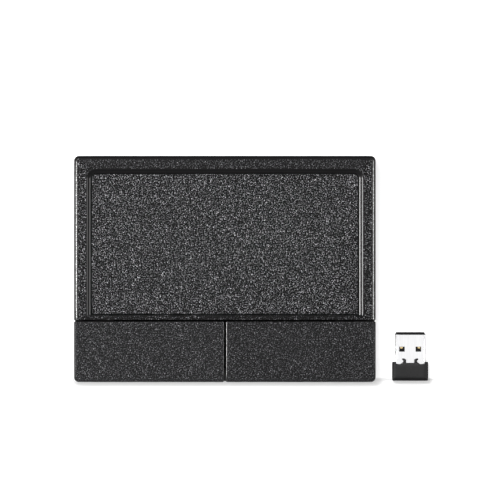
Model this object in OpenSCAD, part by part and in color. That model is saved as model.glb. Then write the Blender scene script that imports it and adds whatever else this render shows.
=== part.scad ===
// Wireless trackpad with two wide click buttons and a plug-in radio receiver lying beside it.
// X runs left to right, Y from the user to the rear, Z up from the desk.
// The origin lies on the desk under the middle of the pad.

/* [Body] */
// Width of the pad
body_w = 120; // [118:1:140]
// Depth of the pad
body_d = 90; // [88:1:100]
// Height of the deck at the rear edge, before its rounding
rear_h = 19.1; // [19:0.1:23]
// Height of the deck at the front edge, before its rounding
front_h = 11.1; // [11:0.1:12]
// Radius of the upright corners
plan_r = 2; // [1:0.5:3]
// Radius of the top edges at the sides and the rear
rim_r = 1.1; // [0.8:0.1:1.2]
// Radius of the fine edges along the gaps
edge_r = 0.4; // [0.3:0.1:0.5]
// Wall thickness of the frame and the buttons
wall = 2; // [1.8:0.1:2.2]
// Height of the joint between the frame and the bottom case
part_z = 6.4; // [6.2:0.1:6.5]

/* [Touch area] */
// Rim left and right of the window
side_rim = 4.7; // [4.6:0.1:7]
// Rim behind the window
rear_rim = 5; // [4.6:0.1:7]
// Rail between the window and the buttons
rail_w = 1.85; // [1.6:0.05:3]
// Width of the curved wall round the window
cove_w = 2; // [1.5:0.1:3]
// Depth of the touch surface below the rim
recess = 0.9; // [0.6:0.1:1]
// Thickness of the touch surface
touch_t = 0.7; // [0.5:0.1:0.8]
// Gap round the touch surface
touch_gap = 0.3; // [0.2:0.05:0.5]
// Radius of its rear corners
touch_r = 1.8; // [1:0.1:4]
// Thickness of the adhesive film under it
film_t = 0.15; // [0.1:0.05:0.2]
// Thickness of the sensor board
sensor_t = 1; // [0.8:0.1:1]
// Width of the sensor board that the frame covers
sensor_lap = 1.5; // [0.8:0.1:1.6]
// Side of the controller chip under the sensor board
controller_w = 7; // [4:0.5:8]
// Height of the controller chip
controller_h = 0.9; // [0.7:0.1:1.2]
// Width of the flat cable connector on either board
connector_w = 12; // [11:0.5:14]
// Depth of that connector
connector_d = 4.5; // [4:0.1:5]
// Height of that connector
connector_h = 1.6; // [1.3:0.1:1.8]
// Width of the flat cable
cable_w = 10; // [6:0.5:10]
// Thickness of the flat cable
cable_t = 0.3; // [0.2:0.05:0.4]

/* [Buttons] */
// Depth of the buttons
button_d = 24; // [23:0.5:26]
// Gap between the frame and the buttons
button_gap = 0.7; // [0.5:0.1:1]
// Gap between the two buttons
split_w = 0.8; // [0.5:0.1:1.5]
// Radius along the front edge
front_r = 2; // [1:0.25:3]
// Thickness of the inner walls
inner_wall = 1.5; // [1:0.1:1.8]
// Angle of a full press, in degrees
press_angle = 1.1; // [0.8:0.05:1.15]
// Room under the skirt beyond the press
skirt_clear = 0.12; // [0.1:0.02:0.3]
// Distance of the hinge behind the front of the frame
hinge_back = 2.1; // [1.9:0.1:2.2]
// Height of the hinge above the desk
hinge_z = 8.8; // [8.7:0.1:8.8]
// Diameter of the hinge trunnions
trunnion_d = 1.6; // [1.2:0.1:1.8]
// Radial clearance of the trunnions
hinge_clear = 0.05; // [0.03:0.01:0.08]
// Width of a hinge arm
arm_w = 4; // [3:0.5:6]
// Thickness of a hinge arm
arm_t = 2.4; // [2:0.1:2.4]
// Distance of the hinge arms from the ends of a button
arm_inset = 10; // [9:0.5:12]
// Thickness of a bearing lug
lug_t = 1.6; // [1.2:0.1:2]
// Gap between an arm and its lugs
lug_gap = 0.25; // [0.15:0.05:0.3]
// Radius of a bearing lug
lug_r = 1.5; // [1.4:0.05:1.5]
// Width of the hook that stops a button rising
hook_w = 6; // [4:0.5:8]
// Thickness of that hook
hook_t = 1; // [0.8:0.1:1.2]
// Clearance of the hook
hook_clear = 0.12; // [0.1:0.02:0.2]

/* [Case] */
// Height of the feet below the case
foot_proud = 0.8; // [0.6:0.1:1]
// Depth of the pockets for the feet
foot_pocket = 0.6; // [0.4:0.1:0.8]
// Width of a foot
foot_w = 6; // [5.5:0.1:6.5]
// Length of a foot
foot_l = 14; // [10:0.5:15]
// Thickness of the floor
floor_t = 1.8; // [1.6:0.1:2]
// Thickness of the case walls
case_wall = 1.8; // [1.6:0.1:2]
// Step from the frame in to the case
case_step = 0.4; // [0.2:0.1:0.6]
// Lean of the case walls
undercut = 0.8; // [0.4:0.1:0.9]
// Radius along the bottom edge
case_r = 0.8; // [0.4:0.1:1]
// Thickness of the tongue inside the frame
tongue_t = 0.9; // [0.8:0.1:1]
// Height of the tongue above the joint
tongue_h = 1; // [0.6:0.1:1]
// Clearance round the tongue
tongue_clear = 0.15; // [0.1:0.05:0.2]
// Diameter of the screw posts in the frame
post_d = 4.8; // [4.4:0.1:5]
// Diameter of the screw posts in the case
case_post_d = 5.4; // [5.2:0.1:5.6]
// Thread diameter of a case screw
screw_d = 2; // [1.8:0.1:2.2]
// Length of a case screw under its head
screw_l = 8; // [6:0.5:8]
// Head diameter of a case screw
screw_head_d = 3.6; // [3.2:0.1:3.8]
// Head height of a case screw
screw_head_h = 1.4; // [1:0.1:1.5]

/* [Boards and switches] */
// Width of the main board
board_w = 88; // [84:1:90]
// Depth of the main board
board_d = 30; // [29:0.5:31]
// Thickness of the main board
board_t = 1.2; // [1:0.1:1.2]
// Height of the underside of the main board
board_z = 5; // [4.9:0.1:5]
// Distance of the main board from the front edge
board_front = 5.5; // [5.4:0.1:6]
// Width of a click switch
switch_w = 6; // [4.5:0.5:6]
// Height of a click switch without its cover
switch_h = 2.1; // [2:0.1:2.1]
// Thickness of the switch cover
switch_cover = 0.3; // [0.2:0.05:0.3]
// Diameter of the switch plunger
plunger_d = 3.4; // [2.5:0.1:3.5]
// Height of the plunger above the cover
plunger_h = 0.7; // [0.6:0.05:0.7]
// Travel left under the plunger
plunger_travel = 0.35; // [0.3:0.01:0.4]
// Gap between a button's rib and the plunger
rib_gap = 0.08; // [0.06:0.01:0.1]
// Distance of the switches from the front edge
switch_y_in = 12; // [11:0.5:13]
// Side of the radio chip
radio_w = 5; // [4:0.5:6]
// Height of the radio chip
radio_h = 0.9; // [0.7:0.1:1.2]
// Length of the crystal
crystal_l = 5; // [4:0.1:5.5]
// Width of the crystal
crystal_w = 3.2; // [2.5:0.1:3.4]
// Height of the crystal
crystal_h = 1.2; // [0.8:0.1:1.4]
// Length of the power switch body
power_l = 8; // [7.5:0.1:9]
// Width of that body
power_w = 3.6; // [3:0.1:4]
// Height of that body
power_h = 1.5; // [1.4:0.05:1.6]
// Travel of the power switch
power_travel = 3; // [2:0.25:3]
// Length of the power switch knob
knob_l = 5; // [4:0.1:6]
// Width of the knob
knob_w = 3.2; // [2.6:0.1:4]
// Flange of the knob beyond its stem, which keeps the slot covered
knob_flange = 3.2; // [3.2:0.1:3.6]
// Running clearance of the knob
knob_clear = 0.1; // [0.05:0.01:0.15]

/* [Batteries] */
// Diameter of a cell
cell_d = 10.3; // [10:0.1:10.4]
// Length of a cell with its nub
cell_l = 44.5; // [43.5:0.1:44.5]
// Diameter of the nub
nub_d = 3.8; // [3:0.1:4]
// Length of the nub
nub_l = 1; // [0.8:0.1:1.2]
// Clearance round a cell
cell_clear = 0.2; // [0.15:0.01:0.25]
// Thickness of the contacts
contact_t = 0.4; // [0.3:0.05:0.5]
// Depth of a pressed contact spring
spring_l = 3.3; // [2.5:0.1:4]
// Thickness of the bay walls
bay_wall = 0.8; // [0.7:0.05:1]
// Thickness of the battery door
door_t = 1.4; // [1.2:0.1:1.4]
// Clearance of the battery door
door_clear = 0.1; // [0.05:0.01:0.15]
// Diameter of the battery leads
lead_d = 1.2; // [0.8:0.1:1.4]

/* [Receiver] */
// Width of the receiver housing
rx_w = 14.4; // [13.5:0.1:16]
// Length of the housing
rx_l = 7.6; // [6:0.1:9]
// Height of the housing
rx_h = 6; // [5.6:0.1:7]
// Width of the plug shell
plug_w = 12; // [11.9:0.05:12.1]
// Height of the plug shell
plug_h = 4.5; // [4.4:0.05:4.6]
// Length of the plug shell outside the housing
plug_l = 11.2; // [11:0.1:12]
// Length of the black tongue beyond the shell
tongue_out = 0.6; // [0.2:0.1:0.8]
// Thickness of the shell
shell_t = 0.3; // [0.2:0.05:0.4]
// Middle of the receiver from the middle of the pad
rx_x = 73.7; // [72:0.1:90]
// Near end of the receiver from the middle of the pad
rx_y = -44.5; // [-60:0.5:0]

/* [Hidden] */
$fn = 64;

// Cutters run this far past the faces that they open
past = 1;
half_w = body_w / 2;
half_d = body_d / 2;
slope = (rear_h - front_h) / body_d;
tilt = atan(slope);

// Height of the deck at y, and of a plane that lies below the deck
function top_z(y) = rear_h - (half_d - y) * slope;
function below_z(y, depth) = top_z(y) - depth / cos(tilt);

// Touch stack, measured square to the deck
deck_t = recess + touch_t + film_t;
stack_t = deck_t + sensor_t;
button_rear = -half_d + button_d;
frame_front = button_rear + button_gap;
window_half = half_w - side_rim - cove_w;
window_front = (frame_front + rail_w) / cos(tilt);
window_rear = (half_d - rear_rim - cove_w) / cos(tilt);
window_r = touch_r + touch_gap;
cove_steps = 12;
cove_curve = [
  for (i = [0:cove_steps])
    [cove_w * i / cove_steps, -recess * (1 + cos(180 * i / cove_steps)) / 2]
];

// Hinge and press
hinge_y = frame_front + hinge_back;
arm_places = [arm_inset, half_w - arm_inset];
rail_wall = 1.2;
arm_room = 0.4;
rail_bottom = hinge_z + arm_t / 2 + arm_room;
round_share = 0.9;
press_drop = (half_d + hinge_y) * sin(press_angle);
skirt_z = part_z + press_drop + skirt_clear;

// Case levels
case_z = foot_proud;
floor_top = case_z + floor_t;
case_half_w = half_w - case_step;
case_half_d = half_d - case_step;
tongue_half_w = half_w - wall - tongue_clear;
tongue_half_d = half_d - wall - tongue_clear;
tongue_root = 1.2;
tongue_top = part_z + tongue_h;
inner_skirt_z = tongue_top + press_drop + skirt_clear;
post_back = 4.8;
post_in = 2.2;
post_inset = wall + post_in;
post_places = [
  for (x = [-1, 1], y = [frame_front + post_back, half_d - post_inset]) [x * (half_w - post_inset), y]
];
head_depth = 2.2;
head_seat = case_z + head_depth;
screw_room = 1.2;
hole_clear = 0.4;
foot_front = 13;
foot_rear = 15;
foot_side = 8.5;
foot_r = 2.5;
foot_places = [
  for (x = [-1, 1], y = [-half_d + foot_front, half_d - foot_rear]) [x * (half_w - foot_side), y]
];

// Boards and switches
board_top = board_z + board_t;
board_near = -half_d + board_front;
board_post_d = 4.4;
board_screw_d = 1.7;
board_screw_l = 4;
board_head = [3.2, 1.2];
board_post_in = [4, 3.5];
board_posts = [
  for (x = [-1, 1], y = [board_post_in[1], board_d - board_post_in[1]])
    [x * (board_w / 2 - board_post_in[0]), board_near + y]
];
switch_x = half_w / 2;
switch_y = -half_d + switch_y_in;
cover_z = board_top + switch_h;
plunger_top = cover_z + switch_cover + plunger_h;
flange_over = 0.8;
flange_d = plunger_d + flange_over;
flange_t = 0.45;
flange_clear = 0.05;
flange_top = cover_z - flange_clear;
plunger_fit = 0.1;
power_in = 15.5;
power_y = board_near + power_in;
lever_w = 1.2;
lever_fit = 0.1;
knob_sunk = 0.3;
knob_bottom = case_z + knob_sunk;
knob_flange_t = 0.6;
knob_lift = 0.05;
knob_flange_z = floor_top + knob_lift;
knob_r = 1;
knob_rib = 0.5;
lever_in = 0.7;
power_z = board_z - power_h;
lever_top = power_z + lever_in;
rib_d = 2.4;
post_room = 0.3;
radio_at = [16, board_near + 12];
crystal_at = [24, board_near + 23];

// Flat cable, from the sensor board's slot to the main board's slot
sensor_front = 0.5;
controller_x = -24;
cable_v = 4;
cable_in = 3;
cable_steps = 24;
slot_side = 0.2;
slot_z = 0.6;
connector_in = 1;
cable_end_y = board_near + board_d - connector_in;
cable_from = [
  cable_v * cos(tilt) + (stack_t + slot_z + cable_t / 2) * sin(tilt),
  top_z(0) + cable_v * sin(tilt) - (stack_t + slot_z + cable_t / 2) * cos(tilt)
];
cable_to = [cable_end_y, board_top + slot_z + cable_t / 2];

// Batteries
bay_rear = tongue_half_d - tongue_t;
cell_gap = 0.3;
cell_pitch = cell_d + cell_gap;
rear_cell_y = bay_rear - cell_clear - cell_d / 2;
front_cell_y = rear_cell_y - cell_pitch;
bay_front = front_cell_y - cell_clear - cell_d / 2;
bay_half = (cell_l + spring_l) / 2 + contact_t;
cell_z = case_z + door_t + cell_clear + cell_d / 2;
bay_top = cell_z + cell_d / 2 + cell_clear;
door_side = 2.2;
door_half = bay_half + door_side;
door_lap = 1;
door_over = 2;
door_front = bay_front - door_over;
door_tongue_half = 8;
door_lip = 0.7;
door_frame = 1.2;
door_roof = case_z + door_t + door_clear;
grip_count = 4;
grip_pitch = 2.2;
grip_w = 18;
grip_t = 0.8;
grip_in = 7;
contact_w = 8;
contact_h = 7;
leaf_w = 5;
leaf_t = 0.3;
leaf_flat = 0.7;
leaf_tall = 3.9;
leaf_root = 0.5;
leaf_tip = 0.8;
leaf_edge = 0.2;
tab_w = 3;
tab_l = 2.6;
lead_bend = 1.5;
lead_off = 0.2;
lead_in = 2.5;
positive_lead_out = 5;
negative_lead_out = 7.5;
lead_z = board_top + lead_d / 2;
tab_z = lead_z - lead_d / 2 - contact_t;

// Receiver bay in the underside
rx_bay_clear = 0.3;
rx_bay_wall = 1;
rx_bay_off = 3.1;
rx_bay_x = door_half + rx_bay_off;
rx_bay_w = rx_w + 2 * rx_bay_clear;
rx_bay_l = rx_l + plug_l + tongue_out + 2 * rx_bay_clear;
rx_bay_y = bay_front - rx_bay_wall;
rx_bay_top = case_z + rx_h + 2 * rx_bay_clear;
scoop_r = 5;
scoop_t = 1;

// Pillars that carry the sensor board
pillar_d = 4;
pillar_out = half_w - 11;
pillar_right = [[17, -3.5], [17, 9], [12, 31], [pillar_out, -6], [pillar_out, 9]];
pillar_places = [for (x = [-1, 1], p = pillar_right) [x * p[0], p[1]]];

// Receiver levels, from the housing's near end
plug_root = 4;
plug_z = (rx_h - plug_h) / 2;
tongue_thick = 1.9;
rx_cavity_y = 1.2;
rx_board_t = 0.8;
rx_contact_t = 0.2;
rx_inner_z = plug_z + shell_t;
rx_tongue_top = rx_inner_z + tongue_thick;
rx_contact_x = [-3.5, -1, 1, 3.5];
rx_contact_w = 1;
rx_contact_in = 1.2;
rx_board_gap = 0.2;
rx_chip_w = 4;
rx_chip_y = 3.6;
rx_chip_h = 0.8;
rx_end_r = 1.2;
rx_side_r = 1;
rx_corner_r = 1;
rx_board_end = 9.6;
rx_tab = [1.2, 1, 0.4];
rx_tab_x = 2.2;
rx_hole = [2.5, 2];
rx_hole_x = 3.1;
rx_hole_y = 6.2;
rx_notch = [3, 1, 4.45];
rx_middle_cut = 0.45;
rx_cover_y = [9.9, 12.9];
rx_cover_t = 0.7;
rx_groove = 0.05;

plastic = [0.09, 0.09, 0.095];
touch_grey = [0.13, 0.13, 0.135];
board_black = [0.03, 0.035, 0.033];
chip_black = [0.06, 0.06, 0.07];
steel = [0.75, 0.75, 0.77];
gold = [0.85, 0.68, 0.3];
rubber = [0.16, 0.16, 0.17];
cell_blue = [0.2, 0.35, 0.5];

// The near corner p of a polygon, cut away outside a circle that touches both of its edges
module corner_bit(p, before, after, r) {
  u = (before - p) / norm(before - p);
  v = (after - p) / norm(after - p);
  inward = (u + v) / norm(u + v);
  half = acos(u * v) / 2;
  centre = p + inward * r / sin(half);
  run = r / tan(half);
  difference() {
    polygon([
      p - inward * r, p + u * run - v * r, p + u * run, centre, p + v * run, p + v * run - u * r
    ]);
    translate(centre) circle(r);
  }
}

// A polygon with each outward corner rounded by its own radius
module rounded_polygon(points, radii) {
  n = len(points);
  difference() {
    polygon(points);
    for (i = [0:n - 1])
      if (radii[i] > 0)
        corner_bit(points[i], points[(i + n - 1) % n], points[(i + 1) % n], radii[i]);
  }
}

// A rectangle from one corner to the other with one radius for all corners
module rounded_rect(from, to, r) {
  rounded_polygon([from, [to[0], from[1]], to, [from[0], to[1]]], [r, r, r, r]);
}

// Box between two corners
module box(from, to) {
  translate(from) cube(to - from);
}

// A section in Y and Z, run along X
module along_x(from, to) {
  rotate([90, 0, 90]) translate([0, 0, from]) linear_extrude(to - from) children();
}

// A section in X and Z, run along Y
module along_y(from, to) {
  rotate([90, 0, 0]) translate([0, 0, -to]) linear_extrude(to - from) children();
}

// Places children in the deck's own frame: Z square to the deck and zero on it
module on_deck() {
  translate([0, 0, top_z(0)]) rotate([tilt, 0, 0]) children();
}

module mirrored() {
  mirror([1, 0, 0]) children();
}

// Outer form of the frame
module frame_block() {
  intersection() {
    along_x(-body_w, body_w)
      rounded_polygon([
        [frame_front, part_z], [half_d, part_z],
        [half_d, top_z(half_d)], [frame_front, top_z(frame_front)]
      ], [0, 0, rim_r, edge_r]);
    on_deck() along_y(-body_d, body_d)
      rounded_polygon([
        [-half_w, -2 * rear_h], [half_w, -2 * rear_h], [half_w, 0], [-half_w, 0]
      ], [0, 0, rim_r, rim_r]);
    linear_extrude(2 * rear_h)
      rounded_polygon([
        [-half_w, -half_d], [half_w, -half_d], [half_w, half_d], [-half_w, half_d]
      ], [0, 0, plan_r, plan_r]);
  }
}

module frame_cavity() {
  front = frame_front - past;
  rear = half_d - wall;
  along_x(-half_w + wall, half_w - wall)
    polygon([
      [front, part_z - past], [rear, part_z - past],
      [rear, below_z(rear, deck_t)], [front, below_z(front, deck_t)]
    ]);
}

// Opening for the touch surface, with sharp front corners and round rear ones
module window_outline(inset) {
  r = window_r - inset;
  rounded_polygon([
    [-window_half + inset, window_front + inset], [window_half - inset, window_front + inset],
    [window_half - inset, window_rear - inset], [-window_half + inset, window_rear - inset]
  ], [0, 0, r, r]);
}

// Section of the curved wall, from the window's edge at a distance of start
module cove_section(start) {
  polygon(concat(
    [[0, past], [0, -recess]],
    [for (p = cove_curve) [start + p[0], p[1]]],
    [[start + cove_w, past]]
  ));
}

// Room cut above the curved wall: two sides, the rear and the two rear corners
module cove() {
  side = window_half - window_r;
  rear = window_rear - window_r;
  for (turn = [0, 1])
    mirror([turn, 0, 0]) {
      along_y(window_front, rear) cove_section(window_half);
      translate([side, rear, 0]) rotate_extrude(angle = 90) cove_section(window_r);
    }
  translate([0, rear, 0]) along_x(-side, side) cove_section(window_r);
}

// Bearing plate for a hinge trunnion, hung under the rail
module hinge_lug(x) {
  r = round_share * lug_r;
  inner = frame_front + rail_wall;
  along_x(x - lug_t / 2, x + lug_t / 2)
    rounded_polygon([
      [frame_front, hinge_z - lug_r], [hinge_y + lug_r, hinge_z - lug_r],
      [hinge_y + lug_r, hinge_z + lug_r], [inner, hinge_z + lug_r],
      [inner, below_z(inner, deck_t / 2)], [frame_front, below_z(frame_front, deck_t / 2)]
    ], [0, r, r, 0, 0, 0]);
}

module hinge_line(x, d, length) {
  translate([x, hinge_y, hinge_z]) rotate([0, 90, 0]) cylinder(d = d, h = length, center = true);
}

module top_frame() {
  inner = frame_front + rail_wall;
  lug_x = arm_w / 2 + lug_gap + lug_t / 2;
  color(plastic)
  difference() {
    union() {
      difference() {
        frame_block();
        frame_cavity();
      }
      along_x(-half_w + wall / 2, half_w - wall / 2)
        polygon([
          [frame_front, rail_bottom], [inner, rail_bottom],
          [inner, below_z(inner, deck_t / 2)], [frame_front, below_z(frame_front, deck_t / 2)]
        ]);
      for (side = [-1, 1], x = arm_places, end = [-1, 1])
        hinge_lug(side * x + end * lug_x);
      for (p = post_places)
        translate([p[0], p[1], part_z])
          cylinder(d = post_d, h = below_z(p[1], deck_t / 2) - part_z);
    }
    on_deck() {
      translate([0, 0, -deck_t - past]) linear_extrude(deck_t + 2 * past) window_outline(0);
      cove();
    }
    for (side = [-1, 1], x = arm_places)
      hinge_line(side * x, trunnion_d + 2 * hinge_clear, 2 * lug_x + lug_t + past);
    for (p = post_places)
      translate([p[0], p[1], part_z - past])
        cylinder(d = screw_d, h = head_seat + screw_l + screw_room - part_z);
  }
}

module touch_surface() {
  color(touch_grey)
  on_deck() translate([0, 0, -recess - touch_t]) linear_extrude(touch_t) window_outline(touch_gap);
}

module touch_adhesive() {
  color("ivory")
  on_deck() translate([0, 0, -deck_t]) linear_extrude(film_t) window_outline(2 * touch_gap);
}

// Board under the touch surface, cut back round the screw posts
module sensor_board() {
  reach = window_half + sensor_lap;
  color(board_black)
  difference() {
    on_deck()
      box([-reach, window_front - sensor_front, -stack_t], [reach, window_rear + sensor_lap, -deck_t]);
    for (p = post_places)
      translate(p) cylinder(d = post_d + 2 * post_room, h = 2 * rear_h);
  }
}

module touch_controller() {
  color(chip_black)
  on_deck()
    translate([controller_x, cable_v, -stack_t - controller_h / 2])
    cube([controller_w, controller_w, controller_h], center = true);
}

// Connector with a slot for the flat cable in the face at its origin, standing on its board
module connector(slot_h) {
  slot = cable_w / 2 + slot_side;
  difference() {
    box([-connector_w / 2, 0, 0], [connector_w / 2, connector_d, connector_h]);
    box([-slot, -past, slot_h], [slot, cable_in + slot_side, slot_h + cable_t]);
  }
}

module sensor_connector() {
  color("ivory")
  on_deck() translate([0, cable_v, -stack_t]) mirror([0, 0, 1]) connector(slot_z);
}

module board_connector() {
  color("ivory")
  translate([0, cable_end_y, board_top]) mirror([0, 1, 0]) connector(slot_z);
}

// Flat cable, a strip whose middle line leaves one slot along the deck and enters the other level
module sensor_cable() {
  run = cable_to - cable_from;
  function blend(t) = t * t * (3 - 2 * t);
  function lean(t) = t * (1 - t) * (1 - t) * slope * run[0];
  line = [
    for (i = [0:cable_steps])
      let (t = i / cable_steps) cable_from + [run[0] * t, run[1] * blend(t) + lean(t)]
  ];
  inside = cable_from + [cable_in, cable_in * slope];
  ends = concat([inside], line, [cable_to - [cable_in, 0]]);
  last = len(ends) - 1;
  color("whitesmoke")
  along_x(-cable_w / 2, cable_w / 2)
    polygon(concat(
      [for (p = ends) p + [0, cable_t / 2]],
      [for (i = [0:last]) ends[last - i] - [0, cable_t / 2]]
    ));
}

module main_board() {
  color(board_black)
  difference() {
    box([-board_w / 2, board_near, board_z], [board_w / 2, board_near + board_d, board_top]);
    for (p = board_posts)
      translate([p[0], p[1], board_z - past])
        cylinder(d = board_screw_d + hole_clear, h = board_t + 2 * past);
  }
}

module chip(at, size) {
  translate([at[0] - size[0] / 2, at[1] - size[1] / 2, board_top]) cube(size);
}

module radio_chip() {
  color(chip_black) chip(radio_at, [radio_w, radio_w, radio_h]);
}

module crystal() {
  color(steel) chip(crystal_at, [crystal_l, crystal_w, crystal_h]);
}

// Pan head screw with its seat at the origin, shank up
module screw(d, length, head_d, head_h) {
  cylinder(d = d, h = length);
  translate([0, 0, -head_h]) cylinder(d = head_d, h = head_h);
}

module board_screws() {
  color(steel)
  for (p = board_posts)
    translate([p[0], p[1], board_top]) mirror([0, 0, 1])
      screw(board_screw_d, board_screw_l, board_head[0], board_head[1]);
}

module case_screws() {
  color(steel)
  for (p = post_places)
    translate([p[0], p[1], head_seat]) screw(screw_d, screw_l, screw_head_d, screw_head_h);
}

// Click switch on the right: base, cover and plunger
module switch_square(z, h) {
  translate([switch_x - switch_w / 2, switch_y - switch_w / 2, z]) cube([switch_w, switch_w, h]);
}

module switch_round(z, d, h) {
  translate([switch_x, switch_y, z]) cylinder(d = d, h = h);
}

module right_switch_base() {
  bottom = flange_top - flange_t - plunger_travel;
  color(chip_black)
  difference() {
    switch_square(board_top, switch_h);
    switch_round(bottom, flange_d + 2 * plunger_fit, cover_z - bottom + past);
  }
}

module right_switch_cover() {
  color(steel)
  difference() {
    switch_square(cover_z, switch_cover);
    switch_round(cover_z - past, plunger_d + plunger_fit, switch_cover + 2 * past);
  }
}

module right_switch_plunger() {
  bottom = flange_top - flange_t;
  color("saddlebrown") {
    switch_round(bottom, plunger_d, plunger_top - bottom);
    switch_round(bottom, flange_d, flange_t);
  }
}

module left_switch_base() {
  mirrored() right_switch_base();
}

module left_switch_cover() {
  mirrored() right_switch_cover();
}

module left_switch_plunger() {
  mirrored() right_switch_plunger();
}

// Slide switch under the main board. Its lever and the knob rest at the off end, on the left.
module power_switch_body() {
  reach = power_travel / 2 + lever_w / 2 + lever_fit;
  color(steel)
  difference() {
    translate([-power_l / 2, power_y - power_w / 2, power_z]) cube([power_l, power_w, power_h]);
    box(
      [-reach, power_y - lever_w / 2 - lever_fit, power_z - past],
      [reach, power_y + lever_w / 2 + lever_fit, lever_top + lever_fit]
    );
  }
}

module lever_block(grow, from, to) {
  half = lever_w / 2 + grow;
  box([-power_travel / 2 - half, power_y - half, from], [-power_travel / 2 + half, power_y + half, to]);
}

module power_switch_lever() {
  color("white") lever_block(0, knob_flange_z, lever_top);
}

module knob_plate(grow, from, to) {
  x = knob_l / 2 + grow;
  y = knob_w / 2 + grow;
  translate([-power_travel / 2, power_y, from])
    linear_extrude(to - from) rounded_rect([-x, -y], [x, y], knob_r);
}

module power_switch_knob() {
  color(plastic)
  difference() {
    union() {
      knob_plate(0, knob_bottom, knob_flange_z + knob_flange_t / 2);
      knob_plate(knob_flange, knob_flange_z, knob_flange_z + knob_flange_t);
    }
    lever_block(0, knob_flange_z, knob_flange_z + knob_flange_t + past);
    for (i = [-1:1])
      translate([-power_travel / 2 + i * knob_l / 4, power_y, knob_bottom])
        cube([knob_rib, 2 * knob_w, 2 * knob_rib], center = true);
  }
}

// Section of the bottom case, leaning in towards the desk
module case_section(half) {
  rounded_polygon(
    [[-half + undercut, case_z], [half - undercut, case_z], [half, part_z], [-half, part_z]],
    [case_r, case_r, 0, 0]
  );
}

module case_block() {
  intersection() {
    along_x(-body_w, body_w) case_section(case_half_d);
    along_y(-body_d, body_d) case_section(case_half_w);
    linear_extrude(2 * part_z)
      rounded_rect([-case_half_w, -case_half_d], [case_half_w, case_half_d], plan_r);
  }
}

module case_tray() {
  x = case_half_w - case_wall;
  y = case_half_d - case_wall;
  difference() {
    case_block();
    box([-x, -y, floor_top], [x, y, part_z + past]);
  }
}

// Upright tongue inside the frame and the buttons, open at the screw posts
module case_tongue() {
  x = tongue_half_w;
  y = tongue_half_d;
  bottom = part_z - tongue_root;
  difference() {
    box([-x, -y, bottom], [x, y, tongue_top]);
    box([-x + tongue_t, -y + tongue_t, bottom - past], [x - tongue_t, y - tongue_t, tongue_top + past]);
    for (p = post_places)
      translate([p[0], p[1], part_z]) cylinder(d = post_d + 2 * post_room, h = tongue_top);
  }
}

// Walls inside the case: battery bay, receiver bay, posts and pillars
module case_inside() {
  edge = door_half + door_lap + door_frame;
  side = bay_half + bay_wall;
  root = case_z + floor_t / 2;
  box([-side, bay_front - bay_wall, case_z], [side, tongue_half_d, bay_top + bay_wall]);
  box([-edge, door_front - door_lap - door_frame, root], [edge, tongue_half_d, door_roof + door_frame]);
  box(
    [rx_bay_x - rx_bay_wall, rx_bay_y - rx_bay_wall, root],
    [rx_bay_x + rx_bay_w + rx_bay_wall, rx_bay_y + rx_bay_l + rx_bay_wall, rx_bay_top + rx_bay_wall]
  );
  for (p = post_places)
    translate([p[0], p[1], root]) cylinder(d = case_post_d, h = part_z - root);
  for (p = board_posts)
    translate([p[0], p[1], root]) cylinder(d = board_post_d, h = board_z - root);
  difference() {
    for (p = pillar_places)
      translate([p[0], p[1], root]) cylinder(d = pillar_d, h = rear_h);
    on_deck() box([-body_w, -body_d, -stack_t], [body_w, body_d, rear_h]);
  }
}

// Room for the battery door: its plate, its side tongues and its front tongue
module door_room() {
  x = door_half + door_clear;
  y = door_front - door_clear;
  tongue = door_tongue_half + door_clear;
  lip = case_z + door_lip;
  box([-x, y, case_z - past], [x, body_d, door_roof]);
  box([-x - door_lap, y, lip], [x + door_lap, body_d, door_roof]);
  box([-tongue, y - door_lap, lip], [tongue, y + past, door_roof]);
}

module foot_plates(from, to) {
  x = foot_w / 2;
  y = foot_l / 2;
  for (p = foot_places)
    translate([p[0], p[1], from]) linear_extrude(to - from) rounded_rect([-x, -y], [x, y], foot_r);
}

module bottom_case() {
  color(plastic)
  difference() {
    union() {
      case_tray();
      case_tongue();
      case_inside();
    }
    box([-bay_half, bay_front, case_z - past], [bay_half, bay_rear, bay_top]);
    door_room();
    box([rx_bay_x, rx_bay_y, case_z - past], [rx_bay_x + rx_bay_w, rx_bay_y + rx_bay_l, rx_bay_top]);
    translate([rx_bay_x + rx_bay_w / 2, rx_bay_y, case_z - past])
      cylinder(r = scoop_r, h = past + scoop_t);
    for (y = [front_cell_y, rear_cell_y])
      box(
        [-bay_half - bay_wall - past, y - tab_w / 2, tab_z],
        [-bay_half + past, y + tab_w / 2, tab_z + contact_t]
      );
    for (p = post_places)
      translate(p) {
        translate([0, 0, case_z - past])
          cylinder(d = screw_head_d + hole_clear, h = head_seat - case_z + past);
        translate([0, 0, case_z]) cylinder(d = screw_d + hole_clear, h = part_z);
      }
    for (p = board_posts)
      translate([p[0], p[1], board_top - board_screw_l]) cylinder(d = board_screw_d, h = board_screw_l);
    foot_plates(case_z - past, case_z + foot_pocket);
    knob_slot();
  }
}

// Slot for the knob's stem through the floor
module knob_slot() {
  x = (knob_l + power_travel) / 2 + knob_clear;
  y = knob_w / 2 + knob_clear;
  translate([0, power_y, case_z - past])
    linear_extrude(floor_t + 2 * past) rounded_rect([-x, -y], [x, y], knob_r);
}

module rubber_feet() {
  color(rubber) foot_plates(0, case_z + foot_pocket);
}

// Door that slides off to the rear, with tongues on its sides and its front edge
module battery_door() {
  top = case_z + door_t;
  lip = case_z + door_lip + door_clear;
  color(plastic)
  difference() {
    intersection() {
      union() {
        box([-door_half, door_front, case_z], [door_half, half_d, top]);
        box([-door_half - door_lap, door_front, lip], [door_half + door_lap, half_d, top]);
        box([-door_tongue_half, door_front - door_lap, lip], [door_tongue_half, door_front + past, top]);
      }
      case_block();
    }
    for (i = [0:grip_count - 1])
      translate([0, half_d - grip_in - i * grip_pitch, case_z])
        cube([grip_w, grip_t, 2 * grip_t], center = true);
  }
}

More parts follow.
